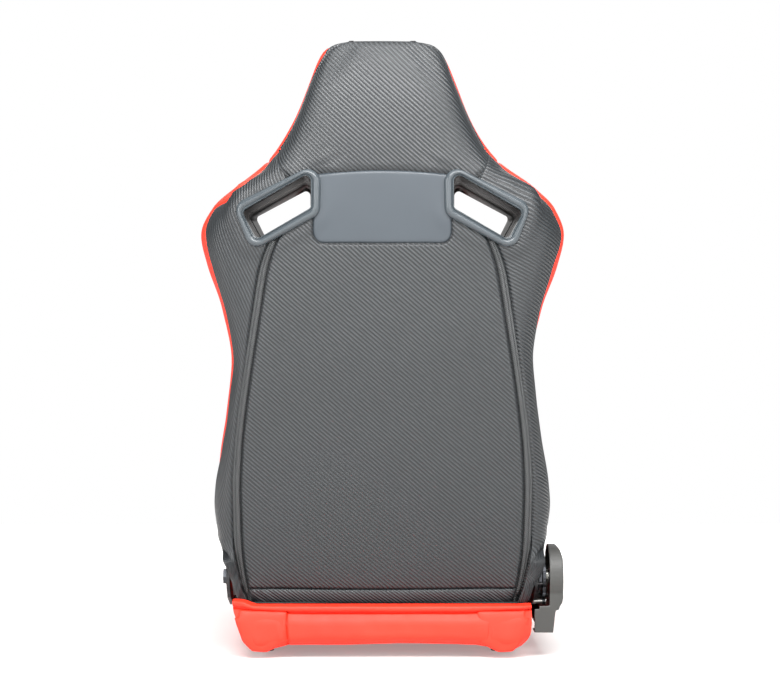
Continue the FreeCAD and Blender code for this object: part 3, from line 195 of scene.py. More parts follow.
@dataclass
class BackForm:
    """The backrest's outer form in its own frame, where x is sideways, d is depth towards the
    sitter and h is height along the backrest, all from the recline axis."""
    half_width: Profile = Profile((
        (-60, 219), (-30, 229), (-5, 241), (12, 252), (40, 261), (80, 267), (115, 271), (145, 269),
        (190, 262), (270, 249), (355, 241), (430, 254), (500, 277), (548, 286), (590, 271), (620, 241),
        (660, 188), (690, 160), (730, 136), (790, 111), (821, 98), (838, 87), (847, 74), (852, 52)))
    rear: Profile = Profile((
        (-60, -40), (0, -46), (150, -53), (350, -52), (550, -46), (660, -39), (760, -25), (815, -11),
        (840, 1), (849, 10), (852, 19)))
    front: Profile = Profile((
        (-60, 44), (0, 46), (80, 52), (160, 58), (260, 52), (380, 40), (500, 34), (600, 38), (660, 46),
        (720, 60), (790, 68), (825, 62), (845, 42), (852, 25)))
    crest_depth: Profile = Profile((
        (-60, 46), (0, 50), (60, 82), (130, 138), (220, 178), (320, 182), (420, 158), (500, 130),
        (560, 120), (610, 108), (650, 92), (700, 84), (780, 88), (822, 74), (845, 48), (852, 26)))
    crest_x: Profile = Profile((
        (-60, 196), (60, 214), (220, 212), (340, 200), (430, 206), (520, 232), (560, 238), (600, 220),
        (650, 165), (700, 122), (780, 92), (830, 72), (852, 44)))
    wide_depth: Profile = Profile((
        (-60, 8), (60, 30), (150, 60), (300, 78), (450, 72), (550, 64), (620, 50), (700, 34), (800, 34),
        (852, 22)))
    centre_x: Profile = Profile((
        (-60, 150), (100, 150), (300, 140), (450, 132), (540, 102), (620, 92), (700, 72), (780, 56),
        (852, 26)))
    slope: Profile = Profile((
        (-60, 0.6), (300, 0.62), (470, 0.5), (560, 0.36), (620, 0.4), (700, 0.55), (852, 0.6)))
    corner: Profile = Profile((
        (-60, 196), (-30, 208), (0, 224), (75, 234), (160, 236), (250, 229), (350, 215), (465, 200),
        (548, 196), (600, 190), (650, 138), (700, 106), (790, 84), (852, 36)))
    corner_drop: float = 8.0
    low: float = -60.0
    high: float = 852.0
    spacing: float = 2.0
    hinge_recess: float = 240.5
    grids: dict[Face, Array] = field(default_factory=dict)
    lengths: Array = field(default_factory=lambda: np.zeros(0))

    def __post_init__(self) -> None:
        """Sample the form once, on grids of even height and even distance round the section."""
        self.heights = np.arange(self.low, self.high + 0.01, self.spacing)
        halves = [self._half(h) for h in self.heights]
        runs = [np.concatenate([[0], np.cumsum(np.linalg.norm(np.diff(p, axis=0), axis=1))]) for p in halves]
        self.lengths = np.array([r[-1] for r in runs])
        marks = np.arange(0, self.lengths.max() + self.spacing, self.spacing)
        for face in Face:
            rows = []
            for points, run, h in zip(halves, runs, self.heights):
                reach = marks if face is Face.REAR else run[-1] - marks
                at = np.clip(reach, 0, run[-1])
                spill = np.abs(reach - at)
                x = np.interp(at, run, points[:, 0]) - spill
                rows.append(np.stack([x, np.interp(at, run, points[:, 1]), np.full(len(marks), h)], 1))
            place = np.array(rows)
            along = np.gradient(place, self.spacing, axis=1)
            up = np.gradient(place, self.spacing, axis=0)
            normal = np.cross(along, up)
            if face is Face.FRONT:
                normal = -normal
            normal /= np.maximum(np.linalg.norm(normal, axis=2, keepdims=True), 1e-9)
            self.grids[face] = np.concatenate([place, normal], 2)

    def _half(self, h: float) -> Array:
        """Dense right-hand half of the section.

        Args:
            h: height.
        Returns:
            Points (x, d) from the rear centre line to the front one.
        """
        wide, rear, front = float(self.half_width(h)), float(self.rear(h)), float(self.front(h))
        crest_d, crest_x = float(self.crest_depth(h)), float(self.crest_x(h))
        wide_d, centre = float(self.wide_depth(h)), float(self.centre_x(h))
        corner = min(float(self.corner(h)), wide - 7)
        drop = self.corner_drop * min(1.0, (front - rear) / 80.0)
        turn = np.radians([38, 64])
        bend_x = corner + (wide - corner) * np.sin(turn) ** 0.9
        bend_d = rear + drop + (wide_d - rear - drop) * (1 - np.cos(turn))
        share = float(self.slope(h))
        key = [(0, rear), (0.45 * corner, rear + 0.1 * drop), (0.84 * corner, rear + 0.5 * drop),
               (corner, rear + drop), (bend_x[0], bend_d[0]), (bend_x[1], bend_d[1]), (wide, wide_d),
               (wide - 0.3 * (wide - crest_x), wide_d + 0.72 * (crest_d - wide_d)), (crest_x, crest_d),
               (crest_x - 0.45 * (crest_x - centre), front + share * (crest_d - front)),
               (centre + 2, front + 0.1 * (crest_d - front)), (0.55 * centre, front), (0, front)]
        loop = np.array(key + [(-x, d) for x, d in key[-2:0:-1]])
        dense = closed_spline(loop, 1200)
        front_at = int(np.argmin(np.abs(dense[200:1000, 0]) + 1e3 * (dense[200:1000, 1] < rear + 5))) + 200
        half = dense[:front_at + 1].copy()
        half[:, 0] = np.maximum(half[:, 0], 0)
        half[0, 0] = half[-1, 0] = 0
        near = smooth(62, 36, np.hypot(half[:, 1], h))
        over = np.maximum(half[:, 0] - self.hinge_recess, 0)
        half[:, 0] -= over * near
        return half

    def at(self, face: Face, q: Array, h: Array, lift: Array | float = 0.0) -> Array:
        """Points on the form.

        Args:
            face: where q starts.
            q: signed distance round the section, positive to the right.
            h: height.
            lift: distance outward from the form.
        Returns:
            Points (x, d, h) with a last axis of three.
        """
        q, h = np.broadcast_arrays(np.asarray(q, float), np.asarray(h, float))
        sample = self._look(face, np.abs(q), h)
        sign = np.where(q < 0, -1.0, 1.0)
        place, normal = sample[..., :3].copy(), sample[..., 3:].copy()
        place[..., 0] *= sign
        normal[..., 0] *= sign
        return place + normal * np.asarray(lift)[..., None] if np.ndim(lift) else place + normal * lift

    def normal(self, face: Face, q: Array, h: Array) -> Array:
        """Outward directions on the form, with the same arguments as at()."""
        q, h = np.broadcast_arrays(np.asarray(q, float), np.asarray(h, float))
        out = self._look(face, np.abs(q), h)[..., 3:].copy()
        out[..., 0] *= np.where(q < 0, -1.0, 1.0)
        return out

    def _look(self, face: Face, s: Array, h: Array) -> Array:
        """Read a grid between its samples.

        Args:
            face: which grid.
            s: distance round the section.
            h: height.
        Returns:
            Places and normals, six values each.
        """
        grid = self.grids[face]
        r = np.clip((h - self.low) / self.spacing, 0, grid.shape[0] - 1.001)
        c = np.clip(s / self.spacing, 0, grid.shape[1] - 1.001)
        i, j = r.astype(int), c.astype(int)
        a, b = (r - i)[..., None], (c - j)[..., None]
        near = grid[i, j] * (1 - b) + grid[i, j + 1] * b
        far = grid[i + 1, j] * (1 - b) + grid[i + 1, j + 1] * b
        return near * (1 - a) + far * a

    def girth(self, h: Array | float) -> Array:
        """Distance round the half section, rear centre to front centre."""
        return np.interp(h, self.heights, self.lengths)

    def from_x(self, x: Array | float, h: Array | float) -> Array:
        """Distance round the rear of the section to a sideways position.

        Args:
            x: sideways position, positive.
            h: height.
        Returns:
            Distance from the rear centre line.
        """
        x, h = np.broadcast_arrays(np.asarray(x, float), np.asarray(h, float))
        out = np.empty(x.shape)
        grid = self.grids[Face.REAR]
        for k in np.ndindex(x.shape):
            row = int(np.clip(round((h[k] - self.low) / self.spacing), 0, grid.shape[0] - 1))
            line = grid[row, :, 0]
            hit = np.nonzero(line >= x[k])[0]
            j = max(int(hit[0]) if len(hit) else int(np.argmax(line)), 1)
            rise = line[j] - line[j - 1]
            share = (x[k] - line[j - 1]) / rise if abs(rise) > 1e-6 else 1.0
            out[k] = (j - 1 + min(max(share, 0.0), 1.0)) * self.spacing
        return out


def to_row(points: Array) -> Array:
    """Points of the backrest's frame, in millimetres, as row-frame points in metres."""
    x, d, h = points[..., 0], points[..., 1], points[..., 2]
    y = PIVOT_Y + d * math.cos(REST_LEAN) - h * math.sin(REST_LEAN)
    z = PIVOT_Z + d * math.sin(REST_LEAN) + h * math.cos(REST_LEAN)
    return np.stack([x, y, z], -1) * MM


# ------------------------------------------------------------------ meshes

def new_object(name: str, points: Array, faces: Sequence[Sequence[int]],
               sharp: float = 40.0) -> bpy.types.Object:
    """Make a mesh object in the scene, smooth shaded with crisp edges.

    Args:
        name: the piece's name.
        points: vertices in metres.
        faces: vertex indices of each face.
        sharp: angle in degrees above which an edge stays crisp.
    Returns:
        The object.
    """
    mesh = bpy.data.meshes.new(name)
    mesh.from_pydata([tuple(p) for p in np.asarray(points, float)], [], [list(f) for f in faces])
    mesh.validate()
    mesh.shade_smooth()
    mesh.set_sharp_from_angle(angle=math.radians(sharp))
    obj = bpy.data.objects.new(name, mesh)
    bpy.context.scene.collection.objects.link(obj)
    return obj


def shell(name: str, outer: Array, inner: Array, uv: Array, keep: Array | None = None) -> bpy.types.Object:
    """Closed skin between two grids of points.

    Args:
        name: the piece's name.
        outer: outer surface, rows by columns by three, in metres.
        inner: inner surface, the same shape.
        uv: cloth coordinates in metres, rows by columns by two.
        keep: which cells exist, all if left out.
    Returns:
        The object, with its outer side outward.
    """
    rows, cols = outer.shape[:2]
    keep = np.ones((rows - 1, cols - 1), bool) if keep is None else keep.copy()
    for _ in range(4):
        a, b, c, d = keep[:-1, :-1], keep[:-1, 1:], keep[1:, :-1], keep[1:, 1:]
        crossing = (a & d & ~b & ~c) | (b & c & ~a & ~d)
        if not crossing.any():
            break
        keep[1:, :-1] &= ~crossing
        keep[1:, 1:] &= ~crossing
    index = np.arange(rows * cols).reshape(rows, cols)
    low_left, low_right = index[:-1, :-1][keep], index[:-1, 1:][keep]
    top_left, top_right = index[1:, :-1][keep], index[1:, 1:][keep]
    total = rows * cols
    quads = [np.stack([low_left, low_right, top_right, top_left], 1),
             np.stack([low_left, top_left, top_right, low_right], 1) + total]
    padded = np.zeros((rows + 1, cols + 1), bool)
    padded[1:-1, 1:-1] = keep
    below, above = padded[:-1, 1:-1], padded[1:, 1:-1]
    before, after = padded[1:-1, :-1], padded[1:-1, 1:]
    for start, end, mask in ((index[:, :-1], index[:, 1:], above & ~below),
                             (index[:, 1:], index[:, :-1], below & ~above),
                             (index[1:, :], index[:-1, :], after & ~before),
                             (index[:-1, :], index[1:, :], before & ~after)):
        p, r = start[mask], end[mask]
        quads.append(np.stack([r, p, p + total, r + total], 1))
    faces = np.concatenate(quads)
    points = np.concatenate([outer.reshape(-1, 3), inner.reshape(-1, 3)])
    used, faces_flat = np.unique(faces, return_inverse=True)
    faces = faces_flat.reshape(-1, 4)
    points = points[used]
    first = points[faces[0]]
    outward = np.cross(first[1] - first[0], first[2] - first[1])
    push = outer.reshape(-1, 3)[used[faces[0][0]]] - inner.reshape(-1, 3)[used[faces[0][0]]]
    if float(np.dot(outward, push)) < 0:
        faces = faces[:, ::-1]
    obj = new_object(name, points, faces, 50)
    flat = np.tile(uv.reshape(-1, 2), (2, 1))[used]
    add_uv(obj, flat)
    return obj


def add_uv(obj: bpy.types.Object, coordinates: Array) -> None:
    """Store one cloth coordinate for each vertex as the object's UV map.

    Args:
        obj: the piece.
        coordinates: vertices by two, in metres.
    """
    layer = obj.data.uv_layers.new(name="Cloth")
    corners = np.empty(len(obj.data.loops), int)
    obj.data.loops.foreach_get("vertex_index", corners)
    layer.data.foreach_set("uv", coordinates[corners].ravel())


def lathe_loops(name: str, loops: Sequence[Array], close: bool = True) -> bpy.types.Object:
    """Skin a series of matching closed loops.

    Args:
        name: the piece's name.
        loops: closed loops of the same number of points, in metres.
        close: join the last loop to the first, and otherwise cap both ends.
    Returns:
        The object.
    """
    count, size = len(loops), len(loops[0])
    faces = []
    for i in range(count if close else count - 1):
        a, b = i * size, ((i + 1) % count) * size
        for k in range(size):
            n = (k + 1) % size
            faces.append((a + k, a + n, b + n, b + k))
    if not close:
        faces.append(tuple(range(size))[::-1])
        faces.append(tuple(range((count - 1) * size, count * size)))
    obj = new_object(name, np.concatenate(loops), faces, 45)
    face_out(obj)
    return obj


def face_out(obj: bpy.types.Object) -> None:
    """Turn every face of a closed mesh outward."""
    mesh = bmesh.new()
    mesh.from_mesh(obj.data)
    bmesh.ops.recalc_face_normals(mesh, faces=mesh.faces)
    mesh.to_mesh(obj.data)
    mesh.free()


def rounded_outline(corners: Sequence[tuple[float, float]], radius: float, per_corner: int = 10,
                    per_side: int = 8) -> Array:
    """Closed outline of a polygon with round corners, with the same point count for any size.

    Args:
        corners: polygon corners.
        radius: corner radius.
        per_corner: points round each corner.
        per_side: points along each side.
    Returns:
        Points by two.
    """
    pts = np.array(corners, float)
    n = len(pts)
    arcs = []
    for k in range(n):
        p, a, b = pts[k], pts[k - 1], pts[(k + 1) % n]
        u, w = (a - p) / np.linalg.norm(a - p), (b - p) / np.linalg.norm(b - p)
        half = 0.5 * math.acos(float(np.clip(np.dot(u, w), -1, 1)))
        r = min(radius, 0.49 * min(np.linalg.norm(a - p), np.linalg.norm(b - p)) * math.tan(half))
        centre = p + (u + w) / np.linalg.norm(u + w) * r / math.sin(half)
        start, end = p + u * r / math.tan(half), p + w * r / math.tan(half)
        a0 = math.atan2(*(start - centre)[::-1])
        a1 = math.atan2(*(end - centre)[::-1])
        sweep = (a1 - a0 + math.pi) % (2 * math.pi) - math.pi
        angles = a0 + sweep * np.linspace(0, 1, per_corner)
        arcs.append(np.stack([centre[0] + r * np.cos(angles), centre[1] + r * np.sin(angles)], 1))
    out = []
    for k in range(n):
        out.append(arcs[k])
        nxt = arcs[(k + 1) % n][0]
        share = np.linspace(0, 1, per_side + 2)[1:-1, None]
        out.append(arcs[k][-1] * (1 - share) + nxt * share)
    return np.concatenate(out)


def grow(outline: Array, distance: float) -> Array:
    """Move a closed outline outward along its own normals.

    Args:
        outline: points by two.
        distance: how far, negative for inward.
    Returns:
        The moved outline.
    """
    along = np.roll(outline, -1, 0) - np.roll(outline, 1, 0)
    along /= np.linalg.norm(along, axis=1, keepdims=True)
    out = np.stack([along[:, 1], -along[:, 0]], 1)
    area = np.sum(outline[:, 0] * np.roll(outline[:, 1], -1) - np.roll(outline[:, 0], -1) * outline[:, 1])
    return outline + out * (distance if area > 0 else -distance)


def outline_distance(outline: Array, x: Array, y: Array) -> Array:
    """Signed distance to a closed outline, negative inside.

    Args:
        outline: points by two.
        x: first coordinate of the query points.
        y: second coordinate.
    Returns:
        Distances with the shape of x.
    """
    p = np.stack([x.ravel(), y.ravel()], 1)
    best = np.full(len(p), 1e9)
    inside = np.zeros(len(p), bool)
    for a, b in zip(outline, np.roll(outline, -1, 0)):
        edge = b - a
        t = np.clip(((p - a) @ edge) / max(float(edge @ edge), 1e-9), 0, 1)
        best = np.minimum(best, np.linalg.norm(p - a - t[:, None] * edge, axis=1))
        crosses = (a[1] > p[:, 1]) != (b[1] > p[:, 1])
        with np.errstate(divide="ignore", invalid="ignore"):
            at = a[0] + (p[:, 1] - a[1]) / (b[1] - a[1]) * edge[0]
        inside ^= crosses & (p[:, 0] < at)
    return np.where(inside, -best, best).reshape(x.shape)


def stitch_row(name: str, path: Array, normals: Array, pitch: float = 4.4, length: float = 3.0,
               radius: float = 0.42) -> bpy.types.Object:
    """A row of thread stitches along a path.

    Args:
        name: the piece's name.
        path: points in metres.
        normals: outward direction at each point.
        pitch: stitch spacing in millimetres.
        length: visible length of a stitch.
        radius: thread radius.
    Returns:
        One object that holds every stitch.
    """
    run = np.concatenate([[0], np.cumsum(np.linalg.norm(np.diff(path, axis=0), axis=1))])
    marks = np.arange(pitch * MM, run[-1] - pitch * MM, pitch * MM)
    rings, sides = np.linspace(-1, 1, 5), 6
    points, faces = [], []

    def spot(table: Array, at: Array) -> Array:
        """Read a table along the path."""
        return np.stack([np.interp(at, run, table[:, k]) for k in range(3)], 1)

    middle, ahead, out = spot(path, marks), spot(path, marks + 0.5 * MM), spot(normals, marks)
    for c, a, n in zip(middle, ahead, out):
        t = (a - c) / max(float(np.linalg.norm(a - c)), 1e-12)
        n = n - t * float(n @ t)
        n /= max(float(np.linalg.norm(n)), 1e-9)
        b = np.cross(t, n)
        base = len(points)
        for u in rings:
            r = radius * MM * max(0.25, math.sqrt(max(0.0, 1 - u * u)))
            sink = -0.45 * radius * MM * u * u
            centre = c + t * (u * length * MM / 2) + n * (radius * 0.45 * MM + sink)
            for k in range(sides):
                w = 2 * math.pi * k / sides
                points.append(centre + (n * math.cos(w) + b * math.sin(w)) * r)
        for i in range(len(rings) - 1):
            for k in range(sides):
                m = (k + 1) % sides
                faces.append((base + i * sides + k, base + i * sides + m, base + (i + 1) * sides + m,
                              base + (i + 1) * sides + k))
        faces.append(tuple(base + k for k in range(sides))[::-1])
        faces.append(tuple(base + (len(rings) - 1) * sides + k for k in range(sides)))
    obj = new_object(name, np.array(points), faces, 80)
    face_out(obj)
    return obj


# ------------------------------------------------------------------ finishes

def srgb(code: str) -> tuple[float, float, float, float]:
    """Linear colour from an sRGB hex code.

    Args:
        code: six hex digits, with or without a leading hash.
    Returns:
        Linear red, green, blue and 1.
    """
    parts = [int(code.lstrip("#")[k:k + 2], 16) / 255 for k in (0, 2, 4)]
    linear = [c / 12.92 if c <= 0.04045 else ((c + 0.055) / 1.055) ** 2.4 for c in parts]
    return (*linear, 1.0)


def add_node(tree: bpy.types.NodeTree, kind: str, values: dict | None = None, links: dict | None = None,
             **settings: object) -> bpy.types.Node:
    """Add a shader node with its settings and links.

    Args:
        tree: node tree to add to.
        kind: node type after "ShaderNode".
        values: input name or index to constant value.
        links: input name or index to the output socket that feeds it.
        settings: node properties.
    Returns:
        The node.
    """
    made = tree.nodes.new("ShaderNode" + kind)
    for key, value in settings.items():
        setattr(made, key, value)
    for key, value in (values or {}).items():
        made.inputs[key].default_value = value
    for key, socket in (links or {}).items():
        tree.links.new(socket, made.inputs[key])
    return made


def start_material(name: str,
                   **constants: object) -> tuple[bpy.types.Material, bpy.types.NodeTree, bpy.types.Node]:
    """Make a material with one Principled shader.

    Args:
        name: material name.
        constants: Principled inputs, with underscores for spaces.
    Returns:
        The material, its tree and the shader.
    """
    material = bpy.data.materials.new(name)
    material.use_nodes = True
    tree = material.node_tree
    tree.nodes.clear()
    shader = add_node(tree, "BsdfPrincipled")
    for key, value in constants.items():
        shader.inputs[key.replace("_", " ")].default_value = value
    out = add_node(tree, "OutputMaterial")
    tree.links.new(shader.outputs["BSDF"], out.inputs["Surface"])
    return material, tree, shader


def wave(tree: bpy.types.NodeTree, value: bpy.types.NodeSocket, per_metre: float,
         shift: bpy.types.NodeSocket | None = None) -> bpy.types.NodeSocket:
    """Sine wave from 0 to 1 of a coordinate.

    Args:
        tree: node tree.
        value: coordinate in metres.
        per_metre: number of waves in a metre.
        shift: extra phase in waves.
    Returns:
        Output socket.
    """
    turns = add_node(tree, "Math", {1: 2 * math.pi * per_metre}, {0: value}, operation="MULTIPLY")
    phase = turns.outputs[0]
    if shift is not None:
        phase = add_node(tree, "Math", {}, {0: phase, 1: shift}, operation="ADD").outputs[0]
    sine = add_node(tree, "Math", {}, {0: phase}, operation="SINE")
    return add_node(tree, "Math", {1: 0.5, 2: 0.5}, {0: sine.outputs[0]}, operation="MULTIPLY_ADD").outputs[0]


@dataclass(frozen=True)
class TwillVinyl:
    """Vinyl embossed like a coarse twill: raised slanting ribs crossed by fine threads."""
    name: str
    slant: float
    pitch_mm: float = 5.15
    thread_mm: float = 1.6
    # the crest colour is the painted lit tone of the rib tops, the valley colour the painted shade in the rib
    # hollows
    crest: str = "#25292C"
    valley: str = "#0B0D0F"
    roughness: float = 0.3

    def build(self) -> bpy.types.Material:
        """Make the material.

        Returns:
            The material. Its ribs are coloured light on the crests and dark in the valleys, painted
            light and painted shade of the relief, and the threads add lighter beads, painted glints.
        """
        material, tree, shader = start_material(self.name, IOR=1.5, Coat_Weight=0.0)
        uv = add_node(tree, "UVMap", uv_map="Cloth")
        wobble = add_node(tree, "TexNoise", {"Scale": 14.0, "Detail": 1.0}, {"Vector": uv.outputs[0]})
        turned = add_node(tree, "Mapping", {"Rotation": (0, 0, math.radians(-self.slant))},
                          {"Vector": uv.outputs[0]})
        axis = add_node(tree, "SeparateXYZ", {}, {0: turned.outputs[0]})
        drift = add_node(tree, "Math", {1: 2.2}, {0: wobble.outputs[0]}, operation="MULTIPLY")
        rib = wave(tree, axis.outputs[1], 1000 / self.pitch_mm, drift.outputs[0])
        ribbed = add_node(tree, "Math", {1: 3.0}, {0: rib}, operation="MULTIPLY")
        thread = wave(tree, axis.outputs[0], 1000 / self.thread_mm, ribbed.outputs[0])
        bead = add_node(tree, "Math", {1: 0.22}, {0: thread}, operation="MULTIPLY")
        height = add_node(tree, "Math", {}, {0: rib, 1: bead.outputs[0]}, operation="ADD")
        patch = add_node(tree, "TexNoise", {"Scale": 5.0, "Detail": 2.0}, {"Vector": uv.outputs[0]})
        shade = add_node(tree, "Math", {1: 0.14}, {0: patch.outputs[0]}, operation="MULTIPLY")
        mixed = add_node(tree, "Math", {1: 0.86}, {0: height.outputs[0]}, operation="MULTIPLY")
        tone = add_node(tree, "Math", {}, {0: mixed.outputs[0], 1: shade.outputs[0]}, operation="ADD")
        # colour follows rib and bead height: painted highlight on crests and beads, painted shade in the valleys
        ramp = add_node(tree, "ValToRGB", {}, {0: tone.outputs[0]})
        ramp.color_ramp.elements[0].position = 0.18
        ramp.color_ramp.elements[0].color = srgb(self.valley)
        ramp.color_ramp.elements[1].position = 1.0
        ramp.color_ramp.elements[1].color = srgb(self.crest)
        tree.links.new(ramp.outputs[0], shader.inputs["Base Color"])
        rough = add_node(tree, "MapRange", {"To Min": self.roughness + 0.2, "To Max": self.roughness},
                         {"Value": rib})
        tree.links.new(rough.outputs[0], shader.inputs["Roughness"])
        bump = add_node(tree, "Bump", {"Strength": 1.0, "Distance": 0.0006}, {"Height": height.outputs[0]})
        tree.links.new(bump.outputs[0], shader.inputs["Normal"])
        return material


@dataclass(frozen=True)
class GrainedSkin:
    """Leather-like coated vinyl: small pebbled grain and a soft sheen."""
    name: str
    colour: str
    deep: str
    roughness: float
    grain_mm: float = 0.9
    relief_mm: float = 0.06
    sheen: float = 0.0
    coat: float = 0.0

    def build(self) -> bpy.types.Material:
        """Make the material.

        Returns:
            The material. The grain breaks up highlights, and its colour deepens in soft patches as
            a hand-stretched cover does.
        """
        material, tree, shader = start_material(self.name, IOR=1.5, Coat_Weight=self.coat,
                                                Coat_Roughness=0.3, Sheen_Weight=self.sheen)
        place = add_node(tree, "TexCoord")
        cells = add_node(tree, "TexVoronoi", {"Scale": 1000 / self.grain_mm},
                         {"Vector": place.outputs["Object"]},
                         feature="SMOOTH_F1")
        crease = add_node(tree, "TexNoise", {"Scale": 55.0, "Detail": 4.0},
                          {"Vector": place.outputs["Object"]})
        patch = add_node(tree, "TexNoise", {"Scale": 7.0, "Detail": 3.0}, {"Vector": place.outputs["Object"]})
        mix = add_node(tree, "MixRGB", {1: srgb(self.deep), 2: srgb(self.colour)})
        ease = add_node(tree, "MapRange", {"From Min": 0.25, "From Max": 0.6, "To Min": 0.35, "To Max": 1.0},
                        {"Value": patch.outputs[0]})
        tree.links.new(ease.outputs[0], mix.inputs[0])
        tree.links.new(mix.outputs[0], shader.inputs["Base Color"])
        rough = add_node(tree, "MapRange", {"To Min": self.roughness - 0.07, "To Max": self.roughness + 0.1},
                         {"Value": crease.outputs[0]})
        tree.links.new(rough.outputs[0], shader.inputs["Roughness"])
        fold = add_node(tree, "Math", {1: 2.5}, {0: crease.outputs[0]}, operation="MULTIPLY")
        height = add_node(tree, "Math", {}, {0: cells.outputs["Distance"], 1: fold.outputs[0]},
                          operation="ADD")
        bump = add_node(tree, "Bump", {"Strength": 0.5, "Distance": self.relief_mm * MM},
                        {"Height": height.outputs[0]})
        tree.links.new(bump.outputs[0], shader.inputs["Normal"])
        return material


@dataclass(frozen=True)
class MouldedPlastic:
    """Injection-moulded ABS or polypropylene with a spark-eroded satin texture."""
    name: str
    colour: str
    roughness: float
    texture_mm: float = 0.5
    relief_mm: float = 0.03

    def build(self) -> bpy.types.Material:
        """Make the material.

        Returns:
            The material. The texture softens reflections, and sharp convex edges are coloured up to a quarter of
            the way towards a lighter tone.
        """
        material, tree, shader = start_material(self.name, IOR=1.5)
        place = add_node(tree, "TexCoord")
        grit = add_node(tree, "TexNoise", {"Scale": 1000 / self.texture_mm, "Detail": 2.0},
                        {"Vector": place.outputs["Object"]})
        cloud = add_node(tree, "TexNoise", {"Scale": 20.0, "Detail": 2.0},
                         {"Vector": place.outputs["Object"]})
        edge_curvature = add_node(tree, "NewGeometry")
        # convex edges, found by pointiness, are coloured lighter
        edge = add_node(tree, "MapRange", {"From Min": 0.5, "From Max": 0.62, "To Min": 0.0, "To Max": 0.25},
                        {"Value": edge_curvature.outputs["Pointiness"]})
        base = srgb(self.colour)
        light = tuple(min(1.0, c * 1.8 + 0.01) for c in base[:3]) + (1.0,)
        mix = add_node(tree, "MixRGB", {1: base, 2: light}, {0: edge.outputs[0]})
        tree.links.new(mix.outputs[0], shader.inputs["Base Color"])
        rough = add_node(tree, "MapRange", {"To Min": self.roughness - 0.05, "To Max": self.roughness + 0.07},
                         {"Value": cloud.outputs[0]})
        tree.links.new(rough.outputs[0], shader.inputs["Roughness"])
        bump = add_node(tree, "Bump", {"Strength": 0.35, "Distance": self.relief_mm * MM},
                        {"Height": grit.outputs[0]})
        tree.links.new(bump.outputs[0], shader.inputs["Normal"])
        return material


@dataclass(frozen=True)
class WorkedSteel:
    """Steel part, bare, plated or powder coated."""
    name: str
    colour: str
    metallic: float
    roughness: float
    texture_mm: float = 0.8

    def build(self) -> bpy.types.Material:
        """Make the material.

        Returns:
            The material. Fine texture and faint stains keep the highlights from looking drawn.
        """
        material, tree, shader = start_material(self.name, Metallic=self.metallic)
        place = add_node(tree, "TexCoord")
        grit = add_node(tree, "TexNoise", {"Scale": 1000 / self.texture_mm, "Detail": 3.0},
                        {"Vector": place.outputs["Object"]})
        stain = add_node(tree, "TexNoise", {"Scale": 35.0, "Detail": 4.0},
                         {"Vector": place.outputs["Object"]})
        base = srgb(self.colour)
        dull = tuple(c * 0.7 for c in base[:3]) + (1.0,)
        mix = add_node(tree, "MixRGB", {1: dull, 2: base}, {0: stain.outputs[0]})
        tree.links.new(mix.outputs[0], shader.inputs["Base Color"])
        rough = add_node(tree, "MapRange", {"To Min": self.roughness - 0.08, "To Max": self.roughness + 0.12},
                         {"Value": stain.outputs[0]})
        tree.links.new(rough.outputs[0], shader.inputs["Roughness"])
        bump = add_node(tree, "Bump", {"Strength": 0.3, "Distance": 0.00003}, {"Height": grit.outputs[0]})
        tree.links.new(bump.outputs[0], shader.inputs["Normal"])
        return material


@dataclass(frozen=True)
class OpenFoam:
    """Cold-cure polyurethane foam with visible pores."""
    name: str
    colour: str
    pore_mm: float = 1.6

    def build(self) -> bpy.types.Material:
        """Make the material.

        Returns:
            The material. Pores are painted darker, painted shade in the pits, and with the bump give a dry,
            matt, speckled face.
        """
        material, tree, shader = start_material(self.name, IOR=1.45, Roughness=0.95)
        place = add_node(tree, "TexCoord")
        pores = add_node(tree, "TexVoronoi", {"Scale": 1000 / self.pore_mm},
                         {"Vector": place.outputs["Object"]})
        base = srgb(self.colour)
        # darker colour in the pore pits: painted shade
        dark = tuple(c * 0.55 for c in base[:3]) + (1.0,)
        mix = add_node(tree, "MixRGB", {1: dark, 2: base})
        ease = add_node(tree, "MapRange", {"From Max": 0.5}, {"Value": pores.outputs["Distance"]})
        tree.links.new(ease.outputs[0], mix.inputs[0])
        tree.links.new(mix.outputs[0], shader.inputs["Base Color"])
        bump = add_node(tree, "Bump", {"Strength": 0.6, "Distance": 0.0004},
                        {"Height": pores.outputs["Distance"]})
        tree.links.new(bump.outputs[0], shader.inputs["Normal"])
        return material


